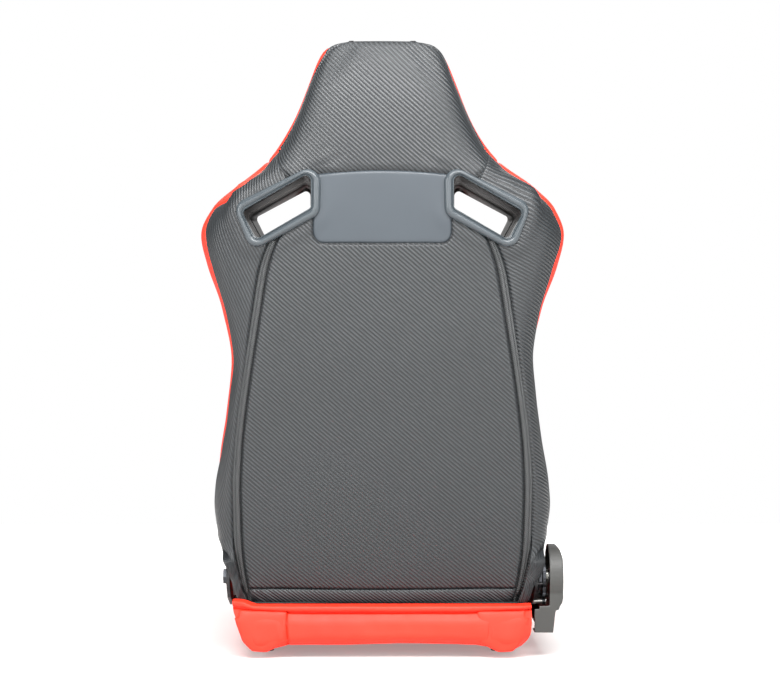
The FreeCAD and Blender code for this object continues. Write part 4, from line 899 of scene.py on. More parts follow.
@dataclass
class Finishes:
    """Every finish of the seat, made once."""
    made: dict[str, bpy.types.Material] = field(default_factory=dict)

    def __post_init__(self) -> None:
        """Build all the materials."""
        # the zip tape's crest and valley tones are likewise painted lit and shaded tones of its ribs
        black_tape = dict(crest="#3A3D3E", valley="#121314", pitch_mm=2.6, thread_mm=1.3)
        recipes = [
            TwillVinyl("twill_vinyl_centre", -41.5), TwillVinyl("twill_vinyl_head", -41.0),
            TwillVinyl("twill_vinyl_left", -64.0), TwillVinyl("twill_vinyl_right", -29.0),
            TwillVinyl("twill_vinyl_hem", -36.0, 4.2), TwillVinyl("zip_tape", 35.0, **black_tape),
            GrainedSkin("smooth_vinyl", "#30373D", "#2C3238", 0.42, 0.8, 0.04),
            GrainedSkin("red_leatherette", "#E32606", "#DA2002", 0.58, 1.1, 0.06),
            GrainedSkin("black_lining", "#1B1C1D", "#121314", 0.85, 0.7, 0.1),
            MouldedPlastic("rim_plastic", "#343A3E", 0.24),
            # front rim: a lighter, warmer copy of the rim plastic, painted light and painted red reflection from
            # the front
            MouldedPlastic("rim_front_plastic", "#453E3C", 0.4),
            # sleeve: dark brownish plastic, painted shade inside the opening with a painted red bounce
            MouldedPlastic("sleeve_plastic", "#1D1918", 0.5),
            MouldedPlastic("cover_plastic", "#2F2F2D", 0.48, 0.7, 0.05),
            MouldedPlastic("lever_plastic", "#232323", 0.48, 0.7, 0.05),
            MouldedPlastic("nylon_clip", "#D8D6CE", 0.45),
            WorkedSteel("powder_steel", "#16171A", 0.0, 0.45),
            WorkedSteel("zinc_steel", "#B9B8B2", 1.0, 0.34),
            WorkedSteel("spring_steel", "#4E5054", 1.0, 0.38),
            OpenFoam("seat_foam", "#D9CDA8"), OpenFoam("pressed_board", "#6A5238", 2.4),
            GrainedSkin("thread_black", "#202122", "#151617", 0.7, 0.5, 0.05),
            GrainedSkin("thread_red", "#C9220E", "#B01C0B", 0.6, 0.5, 0.05),
        ]
        for recipe in recipes:
            self.made[recipe.name] = recipe.build()

    def dress(self, obj: bpy.types.Object, finish: str, slot: str, body: Body) -> bpy.types.Object:
        """Give a piece its finish and the body it rides on.

        Args:
            obj: the piece.
            finish: finish name.
            slot: the record's material slot; not used.
            body: CAD body.
        Returns:
            The same object.
        """
        obj.data.materials.clear()
        obj.data.materials.append(self.made[finish])
        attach(obj, body.value)
        LOG.info("%s: %d faces", obj.name, len(obj.data.polygons))
        return obj


# ------------------------------------------------------------------ harness openings

@dataclass
class HarnessOpening:
    """Plastic rims of one harness opening, rear and front, with the sleeve between them."""
    form: BackForm
    side: Side
    rear_outer: tuple = ((93.0, 675.0), (95.0, 594.0), (202.0, 535.5), (229.0, 607.0))
    rear_inner: tuple = ((109.0, 658.6), (109.0, 605.0), (193.0, 555.7), (215.0, 597.3))
    outer_radius: float = 20.0
    inner_radius: float = 8.0
    front_depth: float = 100.0
    rear_depth: float = -40.0
    taper: float = 0.8
    tilt: float = 0.05
    shift: float = -4.0
    front_width: float = 15.0

    def __post_init__(self) -> None:
        """Find the planes that both rims lie in."""
        self.centre_x = float(np.mean([p[0] for p in self.rear_inner]))
        self.centre_h = float(np.mean([p[1] for p in self.rear_inner]))
        self.rear_plane = self._plane(Face.REAR)
        self.front_plane = self._plane(Face.FRONT)

    def _surface_depth(self, face: Face, x: float, h: float) -> float:
        """Depth of the form at a place seen from behind or in front.

        Args:
            face: rear or front.
            x: sideways position.
            h: height.
        Returns:
            Depth.
        """
        grid = self.form.grids[Face.REAR]
        row = grid[int(round((h - self.form.low) / self.form.spacing))]
        end = int(float(self.form.girth(h)) / self.form.spacing)
        side = row[:end, 0] - x
        hits = np.nonzero(np.diff(np.sign(side)) != 0)[0]
        depths = row[hits, 1]
        return float(depths.min() if face is Face.REAR else depths.max())

    def _plane(self, face: Face) -> tuple[Array, Array]:
        """Plane of a rim.

        Args:
            face: rear or front.
        Returns:
            A point and the outward normal.
        """
        guess = self.rear_depth if face is Face.REAR else 70.0
        x, h = self.hole_centre(guess)
        reach = 45.0
        left, right = (self._surface_depth(face, x + k * reach, h) for k in (-1, 1))
        low, high = (self._surface_depth(face, x, h + k * 35) for k in (-1, 1))
        across = np.array([2 * reach, right - left, 0.0])
        up = np.array([0.0, high - low, 70.0])
        normal = np.cross(across, up) if face is Face.REAR else np.cross(up, across)
        normal /= np.linalg.norm(normal)
        return np.array([x, (left + right) / 2, h]), normal

    def hole_centre(self, depth: float) -> tuple[float, float]:
        """Middle of the opening at a depth, as (x, h)."""
        share = (depth - self.rear_depth) / (self.front_depth - self.rear_depth)
        drop = -(math.tan(REST_LEAN) + self.tilt) * (depth - self.rear_depth)
        return self.centre_x + self.shift * share, self.centre_h + drop

    def hole(self, depth: float) -> Array:
        """Outline of the clear opening at a depth.

        Args:
            depth: where.
        Returns:
            Points (x, h).
        """
        share = (depth - self.rear_depth) / (self.front_depth - self.rear_depth)
        size = 1 + (self.taper - 1) * share
        x, h = self.hole_centre(depth)
        corners = [(x + (px - self.centre_x) * size, h + (ph - self.centre_h) * size)
                   for px, ph in self.rear_inner]
        return rounded_outline(corners, self.inner_radius * size)

    def outer(self, face: Face) -> Array:
        """Outer outline of a rim as (x, h) points."""
        if face is Face.REAR:
            return rounded_outline(self.rear_outer, self.outer_radius)
        centre = self.front_plane[0]
        return grow(self.hole(float(centre[1])), self.front_width)

    def on_plane(self, face: Face, outline: Array, lift: float) -> Array:
        """Put an (x, h) outline on a rim's plane.

        Args:
            face: which rim.
            outline: points by two.
            lift: distance outward.
        Returns:
            Points (x, d, h).
        """
        centre, normal = self.rear_plane if face is Face.REAR else self.front_plane
        away = normal[0] * (outline[:, 0] - centre[0]) + normal[2] * (outline[:, 1] - centre[2])
        d = centre[1] - away / normal[1]
        return np.stack([outline[:, 0], d, outline[:, 1]], 1) + normal * lift

    def press(self, face: Face, points: Array) -> Array:
        """How far the cover is pressed towards a rim's plane.

        Args:
            face: which rim.
            points: points of the form (x, d, h) on this side of the seat.
        Returns:
            Lift to apply along the form's normal.
        """
        centre, normal = self.rear_plane if face is Face.REAR else self.front_plane
        x = points[..., 0] * self.side.value
        gap = (centre[0] - x) * normal[0] + (centre[1] - points[..., 1]) * normal[1] \
            + (centre[2] - points[..., 2]) * normal[2]
        distance = outline_distance(self.outer(face), x, points[..., 2])
        facing = points[..., 1] < 20 if face is Face.REAR else points[..., 1] > 20
        near = smooth(26, 2, distance)
        return np.where((x > 0) & facing, np.clip(gap - 0.8, -22, 22) * near, 0.0)

    def hides(self, face: Face, points: Array) -> Array:
        """Which points lie under the rim and are left out of the cover.

        Args:
            face: which rim.
            points: points (x, d, h).
        Returns:
            True where nothing shows.
        """
        x = points[..., 0] * self.side.value
        facing = points[..., 1] < 20 if face is Face.REAR else points[..., 1] > 20
        inside = outline_distance(grow(self.outer(face), -8.5), x, points[..., 2]) < 0
        return inside & facing & (x > 0)

    def build(self, finishes: Finishes) -> None:
        """Make both rims.

        Args:
            finishes: materials.
        """
        self._rim(finishes, Face.REAR, (
            (0.0, -5.0), (0.0, 0.6), (0.02, 2.6), (0.07, 4.4), (0.15, 6.0), (0.26, 7.4), (0.4, 8.3), (0.54, 8.2),
            (0.66, 7.0), (0.74, 5.6), (0.79, 5.2), (0.83, 5.9), (0.88, 6.6), (0.93, 6.2), (0.96, 4.6),
            (0.98, 2.4)))
        self._rim(finishes, Face.FRONT, (
            (0.0, -5.0), (0.0, 1.0), (0.04, 3.0), (0.14, 4.8), (0.3, 5.8), (0.5, 5.9), (0.7, 5.0), (0.84, 3.6),
            (0.93, 2.0)))

    def _rim(self, finishes: Finishes, face: Face, profile: Sequence[tuple[float, float]]) -> None:
        """One rim: a rounded frame whose inner edge turns into the sleeve.

        Args:
            finishes: materials.
            face: rear or front.
            profile: pairs of share across the frame and height.
        """
        outer = self.outer(face)
        at_plane = float((self.rear_plane if face is Face.REAR else self.front_plane)[0][1])
        inner = self.hole(at_plane)
        loops = [self.on_plane(face, outer + (inner - outer) * share, lift) for share, lift in profile]
        wall = 2.2
        if face is Face.REAR:
            stops = [(-34.0, 0.3), (-22.0, 0.3), (-21.0, 1.6), (8.0, 1.6)]
        else:
            stops = [(at_plane - 12, 0.3), (34.0, 0.3), (33.0, 1.4), (11.0, 1.4)]

        def flat(depth: float, out: float) -> Array:
            """Sleeve loop square to the depth direction."""
            ring = grow(self.hole(depth), out)
            return np.stack([ring[:, 0], np.full(len(ring), depth), ring[:, 1]], 1)

        slant = self.on_plane(face, inner, 0.0)
        loops.append(slant + (flat(stops[0][0], 0.0) - slant) * 0.1)
        for depth, out in stops:
            loops.append(flat(depth, out))
        loops += [flat(stops[-1][0], wall + 1.6), flat(stops[0][0], wall + 1.6)]
        loops.append(self.on_plane(face, outer + (inner - outer) * 0.5, -5.0))
        for loop in loops:
            loop[:, 0] *= self.side.value
        obj = lathe_loops(f"harness_rim_{face.value}_trim_{self.side.word}", [to_row(p) for p in loops])
        # the front rim takes the lighter, warmer copy of the rim plastic: painted light
        finish = "rim_plastic" if face is Face.REAR else "rim_front_plastic"
        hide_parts(f"harness_rim_{face.value}_{self.side.word}")
        finishes.dress(obj, finish, "satin_plastic", Body.BACK)
        # the sleeve faces get the dark brownish plastic: painted shade inside the opening
        obj.data.materials.append(finishes.made["sleeve_plastic"])
        first, last = len(profile) * len(outer), (len(profile) + 4) * len(outer)
        for polygon in obj.data.polygons[first:last]:
            polygon.material_index = 1


# ------------------------------------------------------------------ backrest covers

@dataclass
class BackCovers:
    """Sewn cover of the backrest: embossed vinyl behind, red leatherette in front."""
    form: BackForm
    openings: tuple[HarnessOpening, HarnessOpening]
    finishes: Finishes
    thickness: float = 3.0
    seam_dip: float = 3.4
    seam_width: float = 2.3
    seam_gap: float = 1.0
    hem_top: float = -8.0
    hem_bottom: float = -37.0
    yoke_low: float = 549.0
    yoke_high: float = 662.0
    yoke_sag: float = 7.0
    yoke_half: float = 107.0
    yoke_radius: float = 17.0
    front_split: float = 665.0
    zip_outer: Profile = Profile((
        (-33, 214), (7, 226.5), (75, 237), (160, 237.5), (244, 231.5), (347, 217), (405, 208), (462, 198.5),
        (507, 190), (556, 172)))
    zip_inner: Profile = Profile((
        (-33, 208), (-3, 216), (58, 223), (144, 224.5), (228, 220.5), (296, 212.5), (347, 205), (405, 195.5),
        (462, 186), (511, 177), (556, 162)))
    red_rim: dict[Side, Profile] = field(default_factory=lambda: {
        Side.LEFT: Profile((
            (-60, 1.5), (150, 1.5), (215, 3.5), (300, 4), (355, 6), (430, 8.5), (500, 10), (545, 9), (572, 3),
            (597, 1.5), (610, 11), (632, 15), (645, 5), (654, 3), (700, 2.2), (731, 0.2), (788, 0.4),
            (815, 3.4), (835, 4.2), (852, 1))),
        Side.RIGHT: Profile((
            (-60, 1.5), (300, 1.5), (385, 3), (430, 6), (463, 8), (500, 9), (520, 8), (548, 4), (568, 2.6),
            (650, 2.6), (693, 1.6), (712, 0.6), (852, 0.4)))})
    wrap: dict[Side, Profile] = field(default_factory=lambda: {
        Side.LEFT: Profile(((-60, 30), (60, 40), (130, 46), (200, 24), (240, 0), (852, 0))),
        Side.RIGHT: Profile(((-60, 30), (60, 40), (200, 46), (300, 30), (385, 0), (852, 0)))})
    flap_reach: dict[Side, Profile] = field(default_factory=lambda: {
        Side.LEFT: Profile((
            (-40, 222), (-34, 226), (-21, 232), (-10, 236), (3, 239), (11, 242), (27, 247), (43, 254), (60, 258),
            (80, 261))),
        Side.RIGHT: Profile((
            (-40, 224), (-34, 229), (-25, 235), (-6, 240), (4, 245), (12, 251), (27, 256), (43, 259), (60, 261),
            (80, 263)))})
    stitch_inset: float = 3.2
    seam_lines: dict[Side, Array] = field(default_factory=dict)

    def __post_init__(self) -> None:
        """Find the line of the seam between the rear and the red cover on each side."""
        heights = self.form.heights
        widest = self.form.grids[Face.REAR][:, :, 0].max(axis=1)
        kernel = np.hanning(17) / np.hanning(17).sum()
        for side in Side:
            line = self.form.from_x(widest - self.red_rim[side](heights), heights) + self.wrap[side](heights)
            self.seam_lines[side] = np.convolve(np.pad(line, 8, mode="edge"), kernel, mode="valid")

    def yoke_top(self, q: Array) -> Array:
        """Height of the yoke's upper seam."""
        return self.yoke_high - self.yoke_sag * (np.abs(q) / self.yoke_half) ** 2

    def yoke_distance(self, q: Array, h: Array) -> Array:
        """Signed distance to the yoke's outline, negative inside.

        Args:
            q: signed distance from the rear centre line.
            h: height.
        Returns:
            Distances.
        """
        r = self.yoke_radius
        dx, dh = np.abs(q) - (self.yoke_half - r), self.yoke_low + r - h
        box = np.where((dx > 0) & (dh > 0), np.hypot(dx, dh) - r,
                       np.maximum(np.abs(q) - self.yoke_half, self.yoke_low - h))
        return np.maximum(box, h - self.yoke_top(q))

    def seam_s(self, h: Array, side: Side) -> Array:
        """Distance round to the seam between the rear and the red cover."""
        return np.interp(h, self.form.heights, self.seam_lines[side])

    def edge_lift(self, distance: Array, pillow: float = 1.2) -> Array:
        """Lift of a panel that rolls down into its seams.

        Args:
            distance: distance from the nearest seam.
            pillow: how much fuller the middle is.
        Returns:
            Lift.
        """
        roll = -self.seam_dip * np.exp(-(distance / self.seam_width) ** 2)
        return roll + pillow * (1 - np.exp(-np.maximum(distance, 0) / 28.0))

    def panel(self, name: str, face: Face, q: Array, h: Array, lift: Array,
              rims: bool = True) -> bpy.types.Object:
        """Lay a panel on the form.

        Args:
            name: the piece's name.
            face: where q starts.
            q: rows by columns of signed distance round the section.
            h: rows by columns of height.
            lift: rows by columns of lift above the form.
            rims: whether the harness rims press and cut it.
        Returns:
            The object.
        """
        base = self.form.at(face, q, h)
        keep = np.ones(q.shape, bool)
        if rims:
            for opening in self.openings:
                for end in Face:
                    lift = lift + opening.press(end, base)
                    keep &= ~opening.hides(end, base)
        outer = self.form.at(face, q, h, lift)
        inner = self.form.at(face, q, h, lift - self.thickness)
        for points in (outer, inner):
            reach = -points[..., 0] / self.form.half_width(points[..., 2])
            slack = 8.0 * np.exp(-((points[..., 2] - 622) / 42) ** 2) * smooth(0.8, 1.0, reach)
            points[..., 0] += slack
            points[..., 2] = np.minimum(points[..., 2], self.form.high + 0.6)
        cells = keep[:-1, :-1] & keep[1:, :-1] & keep[:-1, 1:] & keep[1:, 1:]
        uv = np.stack([q, h], -1) * MM
        if face is Face.FRONT:
            uv[..., 0] *= -1
        return shell(name, to_row(outer), to_row(inner), uv, cells)

    def _columns(self, left: Array, right: Array, step: float) -> Array:
        """Columns between two seams, close together near them.

        Args:
            left: position of the left seam for each row.
            right: position of the right seam for each row.
            step: spacing in the middle.
        Returns:
            Rows by columns.
        """
        width = float(np.max(right - left))
        unit = graded(0.0, width, step)
        near = np.minimum(unit, width - unit) < 8
        out = []
        for a, b in zip(left, right):
            span = b - a
            if span < 17:
                out.append(a + unit / width * span)
                continue
            scaled = np.where(unit < width / 2, a + np.where(near, unit, 0),
                              b - np.where(near, width - unit, 0))
            inner = (unit - 7.6) / (width - 15.2)
            out.append(np.where(near, scaled, a + 7.6 + inner * (span - 15.2)))
        return np.array(out)

    def build(self) -> None:
        """Make every panel of the backrest's cover."""
        self._centre()
        self._head()
        self._yoke()
        for side in Side:
            self._side(side)
            self._zip(side)
            self._flap(side)
            self._bolster(side)
        self._hem()
        self._front_centre()
        self._headrest_front()
        self._lower_closing()
        # dark sheet under the rear panels: painted shade in the seams
        self._lining()

    def _finish(self, obj: bpy.types.Object, finish: str, slot: str, nodes: Sequence[str]) -> None:
        """Args:
            obj: the panel.
            finish: finish name.
            slot: the record's material slot.
            nodes: CAD nodes it stands for.
        """
        if nodes:
            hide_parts(*nodes)
        self.finishes.dress(obj, finish, slot, Body.BACK)

    def _centre(self) -> None:
        """Large rear panel between the zips."""
        fine_h = np.arange(543, 572, 1.6)
        rows = np.concatenate([graded(self.hem_top, 543, 5.5)[:-6], fine_h, np.arange(573, 604, 4.0)])
        zips = self.form.from_x(self.zip_inner(rows), rows)
        zips = np.where(rows > 552, np.minimum(zips, 166 - 0.9 * (rows - 552)), zips) - self.seam_gap
        fixed = np.concatenate([np.arange(-84, -111.5, -1.7)[::-1], np.linspace(-84, 84, 32)[1:-1],
                                np.arange(84, 111.5, 1.7)])
        edge = np.array([0, 0.9, 2.0, 3.4, 5.2, 7.6])
        q = []
        for z in zips:
            outer = np.linspace(z - 7.6, fixed[-1], 17)[1:-1]
            right = np.concatenate([z - edge, outer])
            q.append(np.concatenate([-right, fixed, right[::-1]]))
        q = np.array(q)
        h = np.repeat(rows[:, None], q.shape[1], 1)
        distance = np.minimum(zips[:, None] - np.abs(q), h - self.hem_top)
        lift = self.edge_lift(distance, 1.8) + 0.35 * ripple(q, h, 150, 3)
        pucker = ripple(q * 0.4, h, 16, 5) * np.exp(-np.maximum(zips[:, None] - np.abs(q), 0) / 9.0)
        lift += 0.28 * pucker * smooth(0, 3, zips[:, None] - np.abs(q))
        lift -= 3.8 * smooth(2.6, -1.2, self.yoke_distance(q, h))
        obj = self.panel("rear_centre_cover", Face.REAR, q, h, lift)
        self._finish(obj, "twill_vinyl_centre", "twill_vinyl", ["rear_centre_panel"])

    def _head(self) -> None:
        """Rear panel of the headrest."""
        side_h = 688.0
        anchor_a = float(self.form.from_x(148, 650) / self.seam_s(650.0, Side.RIGHT))
        anchor_b = float(self.form.from_x(165, 684) / self.seam_s(684.0, Side.RIGHT))
        unit = np.concatenate([np.linspace(0, anchor_a, 26), np.linspace(anchor_a, anchor_b, 10)[1:],
                               np.linspace(anchor_b, 1, 12)[1:]])
        unit = np.concatenate([-unit[:0:-1], unit])
        low = np.interp(np.abs(unit), [0, anchor_a * 0.8, anchor_a, anchor_b, 1],
                        [642, 643, 650, 684, side_h])
        top = 851.6
        low = low + self.seam_gap
        share = graded(0, 205, 5.0) / 205
        h = low[None, :] + (top - low[None, :]) * share[:, None]
        h = np.where(h > 800, 800 + (top - 800) * np.sin((h - 800) / (top - 800) * math.pi / 2), h)
        edge = np.where(unit[None, :] < 0, self.seam_s(h, Side.LEFT),
                        self.seam_s(h, Side.RIGHT)) - self.seam_gap
        q = unit[None, :] * edge
        seam_gap = (1 - np.abs(unit))[None, :] * edge
        lower_gap = np.where(np.abs(unit)[None, :] > anchor_a - 0.02, (h - low[None, :]) * 0.75, 99)
        distance = np.minimum(np.minimum(seam_gap, lower_gap), 99)
        lift = self.edge_lift(distance, 1.0) + 0.3 * ripple(q, h, 120, 8)
        fold = np.exp(-((h - 676) / 16) ** 2) * np.exp(-((np.abs(q) - 92) / 26) ** 2)
        lift += 0.7 * fold * np.sin((h + 0.55 * np.abs(q)) / 3.6)
        lift -= 3.8 * smooth(2.6, -1.2, self.yoke_distance(q, h))
        obj = self.panel("rear_head_cover", Face.REAR, q, h, lift)
        self._finish(obj, "twill_vinyl_head", "twill_vinyl", ["rear_head_panel"])

    def _yoke(self) -> None:
        """Smooth panel between the harness openings."""
        share = graded(0, 112, 5.0) / 112
        unit = graded(-1.0, 1.0, 0.05, (0.008, 0.018, 0.03, 0.048, 0.07))
        h0 = self.yoke_low + (656 - self.yoke_low) * share
        rise = np.clip(self.yoke_low + self.yoke_radius - h0, 0, self.yoke_radius)
        half = self.yoke_half - self.yoke_radius + np.sqrt(np.maximum(self.yoke_radius ** 2 - rise ** 2, 0))
        q = half[:, None] * unit[None, :]
        h = self.yoke_low + (self.yoke_top(q) - self.yoke_low) * share[:, None]
        distance = -self.yoke_distance(q, h)
        lift = 0.9 + self.edge_lift(distance + 0.2, 0.8) + 0.2 * ripple(q, h, 90, 12)
        lift -= 1.4 * np.exp(-distance / 2.2)
        obj = self.panel("rear_yoke_cover", Face.REAR, q, h, lift)
        self._finish(obj, "smooth_vinyl", "smooth_vinyl", ["rear_yoke_panel"])
        turn = np.radians(np.linspace(0, 90, 12))
        corner_q = self.yoke_half - self.yoke_radius * (1 - np.cos(turn))
        corner_h = self.yoke_low + self.yoke_radius * (1 - np.sin(turn))
        half_q = np.concatenate([[self.yoke_half], corner_q, np.linspace(corner_q[-1], 0, 20)[1:]])
        half_h = np.concatenate([[590.0], corner_h, np.full(19, self.yoke_low)])
        across = np.linspace(-98, 98, 60)
        self._seam("yoke_seam_low", np.concatenate([half_q, -half_q[-2::-1]]),
                   np.concatenate([half_h, half_h[-2::-1]]))
        self._seam("yoke_seam_top", across, self.yoke_top(across))

    def _seam(self, name: str, q: Array, h: Array) -> None:
        """Black thread drawn down into a seam.

        Args:
            name: the piece's name.
            q: signed distance from the rear centre line.
            h: height.
        """
        path = self.form.at(Face.REAR, q, h, -0.4)
        tips = to_row(path + self.form.normal(Face.REAR, q, h)) - to_row(path)
        thread = stitch_row(name, to_row(path), tips / MM, 3.6, 3.3)
        self.finishes.dress(thread, "thread_black", "smooth_vinyl", Body.BACK)

    def _side(self, side: Side) -> None:
        """Rear side panel, from the zip round to the red cover.

        Args:
            side: which side.
        """
        rows = np.concatenate([graded(self.hem_bottom, 684.0, 5.0)])
        left_x = np.interp(rows, [self.hem_bottom, 545, 556, 600, 640, 650, 684],
                           [0, 0, 168, 140, 140, 148, 165])
        left_x = np.where(rows <= 552, self.zip_outer(rows), left_x)
        left = self.form.from_x(left_x, rows) + self.seam_gap
        right = self.seam_s(rows, side) - self.seam_gap
        q = self._columns(left, right, 5.0)
        unit = (q - left[:, None]) / (right - left)[:, None]
        h = np.repeat(rows[:, None], q.shape[1], 1)
        h = h + 4.0 * unit * smooth(640, 684, h) - self.seam_gap
        distance = np.minimum(q - left[:, None], right[:, None] - q)
        near_split = np.where(h > 640, (q - left[:, None]) * 0.9, 99)
        distance = np.minimum(distance, np.minimum(near_split, h - self.hem_bottom))
        lift = self.edge_lift(distance, 1.6) + 0.5 * ripple(q, h, 110, 21 + side.value)
        pull = np.exp(-((h - 640) / 42) ** 2) * smooth(0, 12, distance)
        lift += 0.35 * pull * np.sin((h - 0.2 * q) / 5.2)
        gather = np.exp(-((h + 8) / 26) ** 2) * smooth(0, 5, q - left[:, None])
        lift += 0.9 * gather * np.sin((q * 0.9 + h) / 5.0)
        obj = self.panel(f"rear_side_cover_{side.word}", Face.REAR, q * side.value, h, lift)
        self._finish(obj, f"twill_vinyl_{side.word}", "twill_vinyl", [f"rear_side_panel_{side.word}"])

    def _zip(self, side: Side) -> None:
        """Zip flap with its stitching.

        Args:
            side: which side.
        """
        rows = graded(self.hem_bottom + 1, 553.0, 4.0)
        inner = self.form.from_x(self.zip_inner(rows), rows) + 0.7
        outer = self.form.from_x(self.zip_outer(rows), rows) - 0.5
        share = np.array([0, 0.06, 0.14, 0.26, 0.4, 0.5, 0.56, 0.62, 0.72, 0.84, 0.93, 1.0])
        q = inner[:, None] + (outer - inner)[:, None] * share[None, :]
        h = np.repeat(rows[:, None], q.shape[1], 1)
        distance = np.minimum(q - inner[:, None], outer[:, None] - q)
        lift = -2.2 * np.exp(-(distance / 1.3) ** 2) + 0.5 + 0.25 * ripple(q, h, 34, 31)
        lift -= 1.1 * np.exp(-((share[None, :] - 0.56) / 0.05) ** 2)
        bunch = np.exp(-((h + 20) / 18) ** 2)
        lift += 1.2 * bunch * np.sin(h / 2.6)
        obj = self.panel(f"zip_flap_{side.word}", Face.REAR, q * side.value, h, lift)
        self._finish(obj, "zip_tape", "twill_vinyl", [f"rear_zip_{side.word}"])
        seam = (inner - 0.7 - self.stitch_inset) * side.value
        normals = self.form.normal(Face.REAR, seam, rows)
        lifted = self.edge_lift(np.full(len(rows), self.stitch_inset), 1.8)
        path = self.form.at(Face.REAR, seam, rows, 0.0) + normals * lifted[:, None]
        tips = to_row(path + normals) - to_row(path)
        thread = stitch_row(f"zip_stitch_inner_{side.word}", to_row(path)[8:], tips[8:] / MM)
        self.finishes.dress(thread, "thread_black", "twill_vinyl", Body.BACK)

    def _flap(self, side: Side) -> None:
        """Loose lower end of the side panel, hanging behind the hinge.

        Args:
            side: which side.
        """
        table = self.flap_reach[side]
        rows = graded(-36.0, 78.0, 4.0, (0.9, 2.0, 3.4))
        unit = graded(0.0, 1.0, 0.07, (0.02, 0.05, 0.1))
        reach = table(rows)[:, None]
        start = np.minimum(self.zip_outer(rows), reach[:, 0] - 6)[:, None] + 0.5
        near = self.form.from_x(self.zip_outer(rows) + 0.5, rows)
        far = self.seam_s(rows, side) - 8
        q = near[:, None] + (far - near)[:, None] * unit[None, :]
        h = np.repeat(rows[:, None], q.shape[1], 1)
        wave_lift = 0.5 * ripple(q, h, 22, 111 + side.value)
        wave_lift = wave_lift + 0.5 * np.sin((h + 0.5 * q) / 3.4) * smooth(60, 20, h)
        hung = np.stack([start + (reach - start) * unit[None, :],
                         self.form.rear(h) - 3.2 + 5.5 * unit[None, :] ** 3 - wave_lift, h], -1)
        laid = self.form.at(Face.REAR, q, h, 1.4 - 2.2 * smooth(68, 78, h))
        share = smooth(66, 40, h)[..., None]
        outer = laid + (hung - laid) * share
        normal = self.form.normal(Face.REAR, q, h) * (1 - share) + np.array([0.0, -1.0, 0.0]) * share
        inner = outer - 2.4 * normal
        for points in (outer, inner):
            points[..., 0] *= side.value
        obj = shell(f"rear_flap_{side.word}", to_row(outer), to_row(inner),
                    np.stack([q * side.value, h], -1) * MM)
        face_out(obj)
        self._finish(obj, f"twill_vinyl_{side.word}", "twill_vinyl", [])

    def _bolster(self, side: Side) -> None:
        """Red side bolster cover, from the side seam to the centre panel's seam.

        Args:
            side: which side.
        """
        rows = graded(-30.0, self.front_split, 5.0)
        left = self.seam_s(rows, side)
        centre = self.form.girth(rows) - self._front_s(rows)
        q = self._columns(left, centre, 5.5)
        h = np.repeat(rows[:, None], q.shape[1], 1)
        distance = np.minimum(np.minimum(q - left[:, None], centre[:, None] - q), self.front_split - h)
        lift = self.edge_lift(distance, 2.2) + 0.5 * ripple(q, h, 120, 41 + side.value)
        inner_side = smooth(60, 10, centre[:, None] - q)
        lift += 0.5 * inner_side * smooth(0, 6, distance) * np.sin(h / 6.3 + 0.4 * ripple(q, h, 60, 44))
        obj = self.panel(f"bolster_cover_{side.word}", Face.REAR, q * side.value, h, lift)
        self._finish(obj, "red_leatherette", "red_leatherette",
                     [f"{part}_{side.word}" for part in ("back_bolster_cover", "torso_bolster_foam",
                                                         "shoulder_foam")])

    def _front_s(self, h: Array) -> Array:
        """Distance from the front centre line to the centre panel's seam."""
        grid = self.form.grids[Face.FRONT]
        out = []
        for value in np.atleast_1d(h):
            row = grid[int(np.clip(round((value - self.form.low) / self.form.spacing), 0, len(grid) - 1))]
            target = float(self.form.centre_x(value))
            out.append(float(np.argmax(row[:, 0] >= target)) * self.form.spacing)
        return np.array(out)

    def _front_centre(self) -> None:
        """Red centre panel with sewn cross channels."""
        rows = np.arange(-30.0, self.front_split + 0.1, 2.6)
        rows[-1] = self.front_split
        edge = self._front_s(rows)
        kernel = np.ones(9) / 9
        edge = np.convolve(np.pad(edge, 4, mode="edge"), kernel, mode="valid")
        unit = graded(-1.0, 1.0, 0.045, (0.006, 0.014, 0.024, 0.038, 0.056))
        q = edge[:, None] * unit[None, :]
        h = np.repeat(rows[:, None], q.shape[1], 1)
        distance = np.minimum(edge[:, None] - np.abs(q), self.front_split - h)
        channel = np.mod(h + 14.0, 56.0)
        channel = np.minimum(channel, 56.0 - channel)
        channel = np.where((h > 70) & (h < 610), channel, 28.0)
        lift = self.edge_lift(distance, 1.0)
        lift += -3.0 * np.exp(-(channel / 2.8) ** 2) + 3.0 * (1 - np.exp(-channel / 9.0)) - 1.5
        lift += 0.3 * ripple(q, h, 70, 51)
        obj = self.panel("back_centre_cover", Face.FRONT, q, h, lift)
        self._finish(obj, "red_leatherette", "red_leatherette",
                     ["back_centre_panel", "back_centre_foam"])

    def _headrest_front(self) -> None:
        """Red front of the headrest."""
        share = graded(0, 187, 5.0) / 187
        low, top = self.front_split, 851.6
        rows = low + (top - low) * share
        rounded = 800 + (top - 800) * np.sin((rows - 800) / (top - 800) * math.pi / 2)
        rows = np.where(rows > 800, rounded, rows)
        left = self.seam_s(rows, Side.LEFT) - self.form.girth(rows)
        right = self.form.girth(rows) - self.seam_s(rows, Side.RIGHT)
        q = self._columns(left, right, 5.5)
        h = np.repeat(rows[:, None], q.shape[1], 1)
        distance = np.minimum(np.minimum(q - left[:, None], right[:, None] - q), h - low)
        lift = self.edge_lift(distance, 1.6) + 0.3 * ripple(q, h, 100, 61) - 3.2 * smooth(836, 850, h)
        obj = self.panel("headrest_cover", Face.FRONT, q, h, lift)
        self._finish(obj, "red_leatherette", "red_leatherette",
                     ["headrest_cover_front", "headrest_foam"])

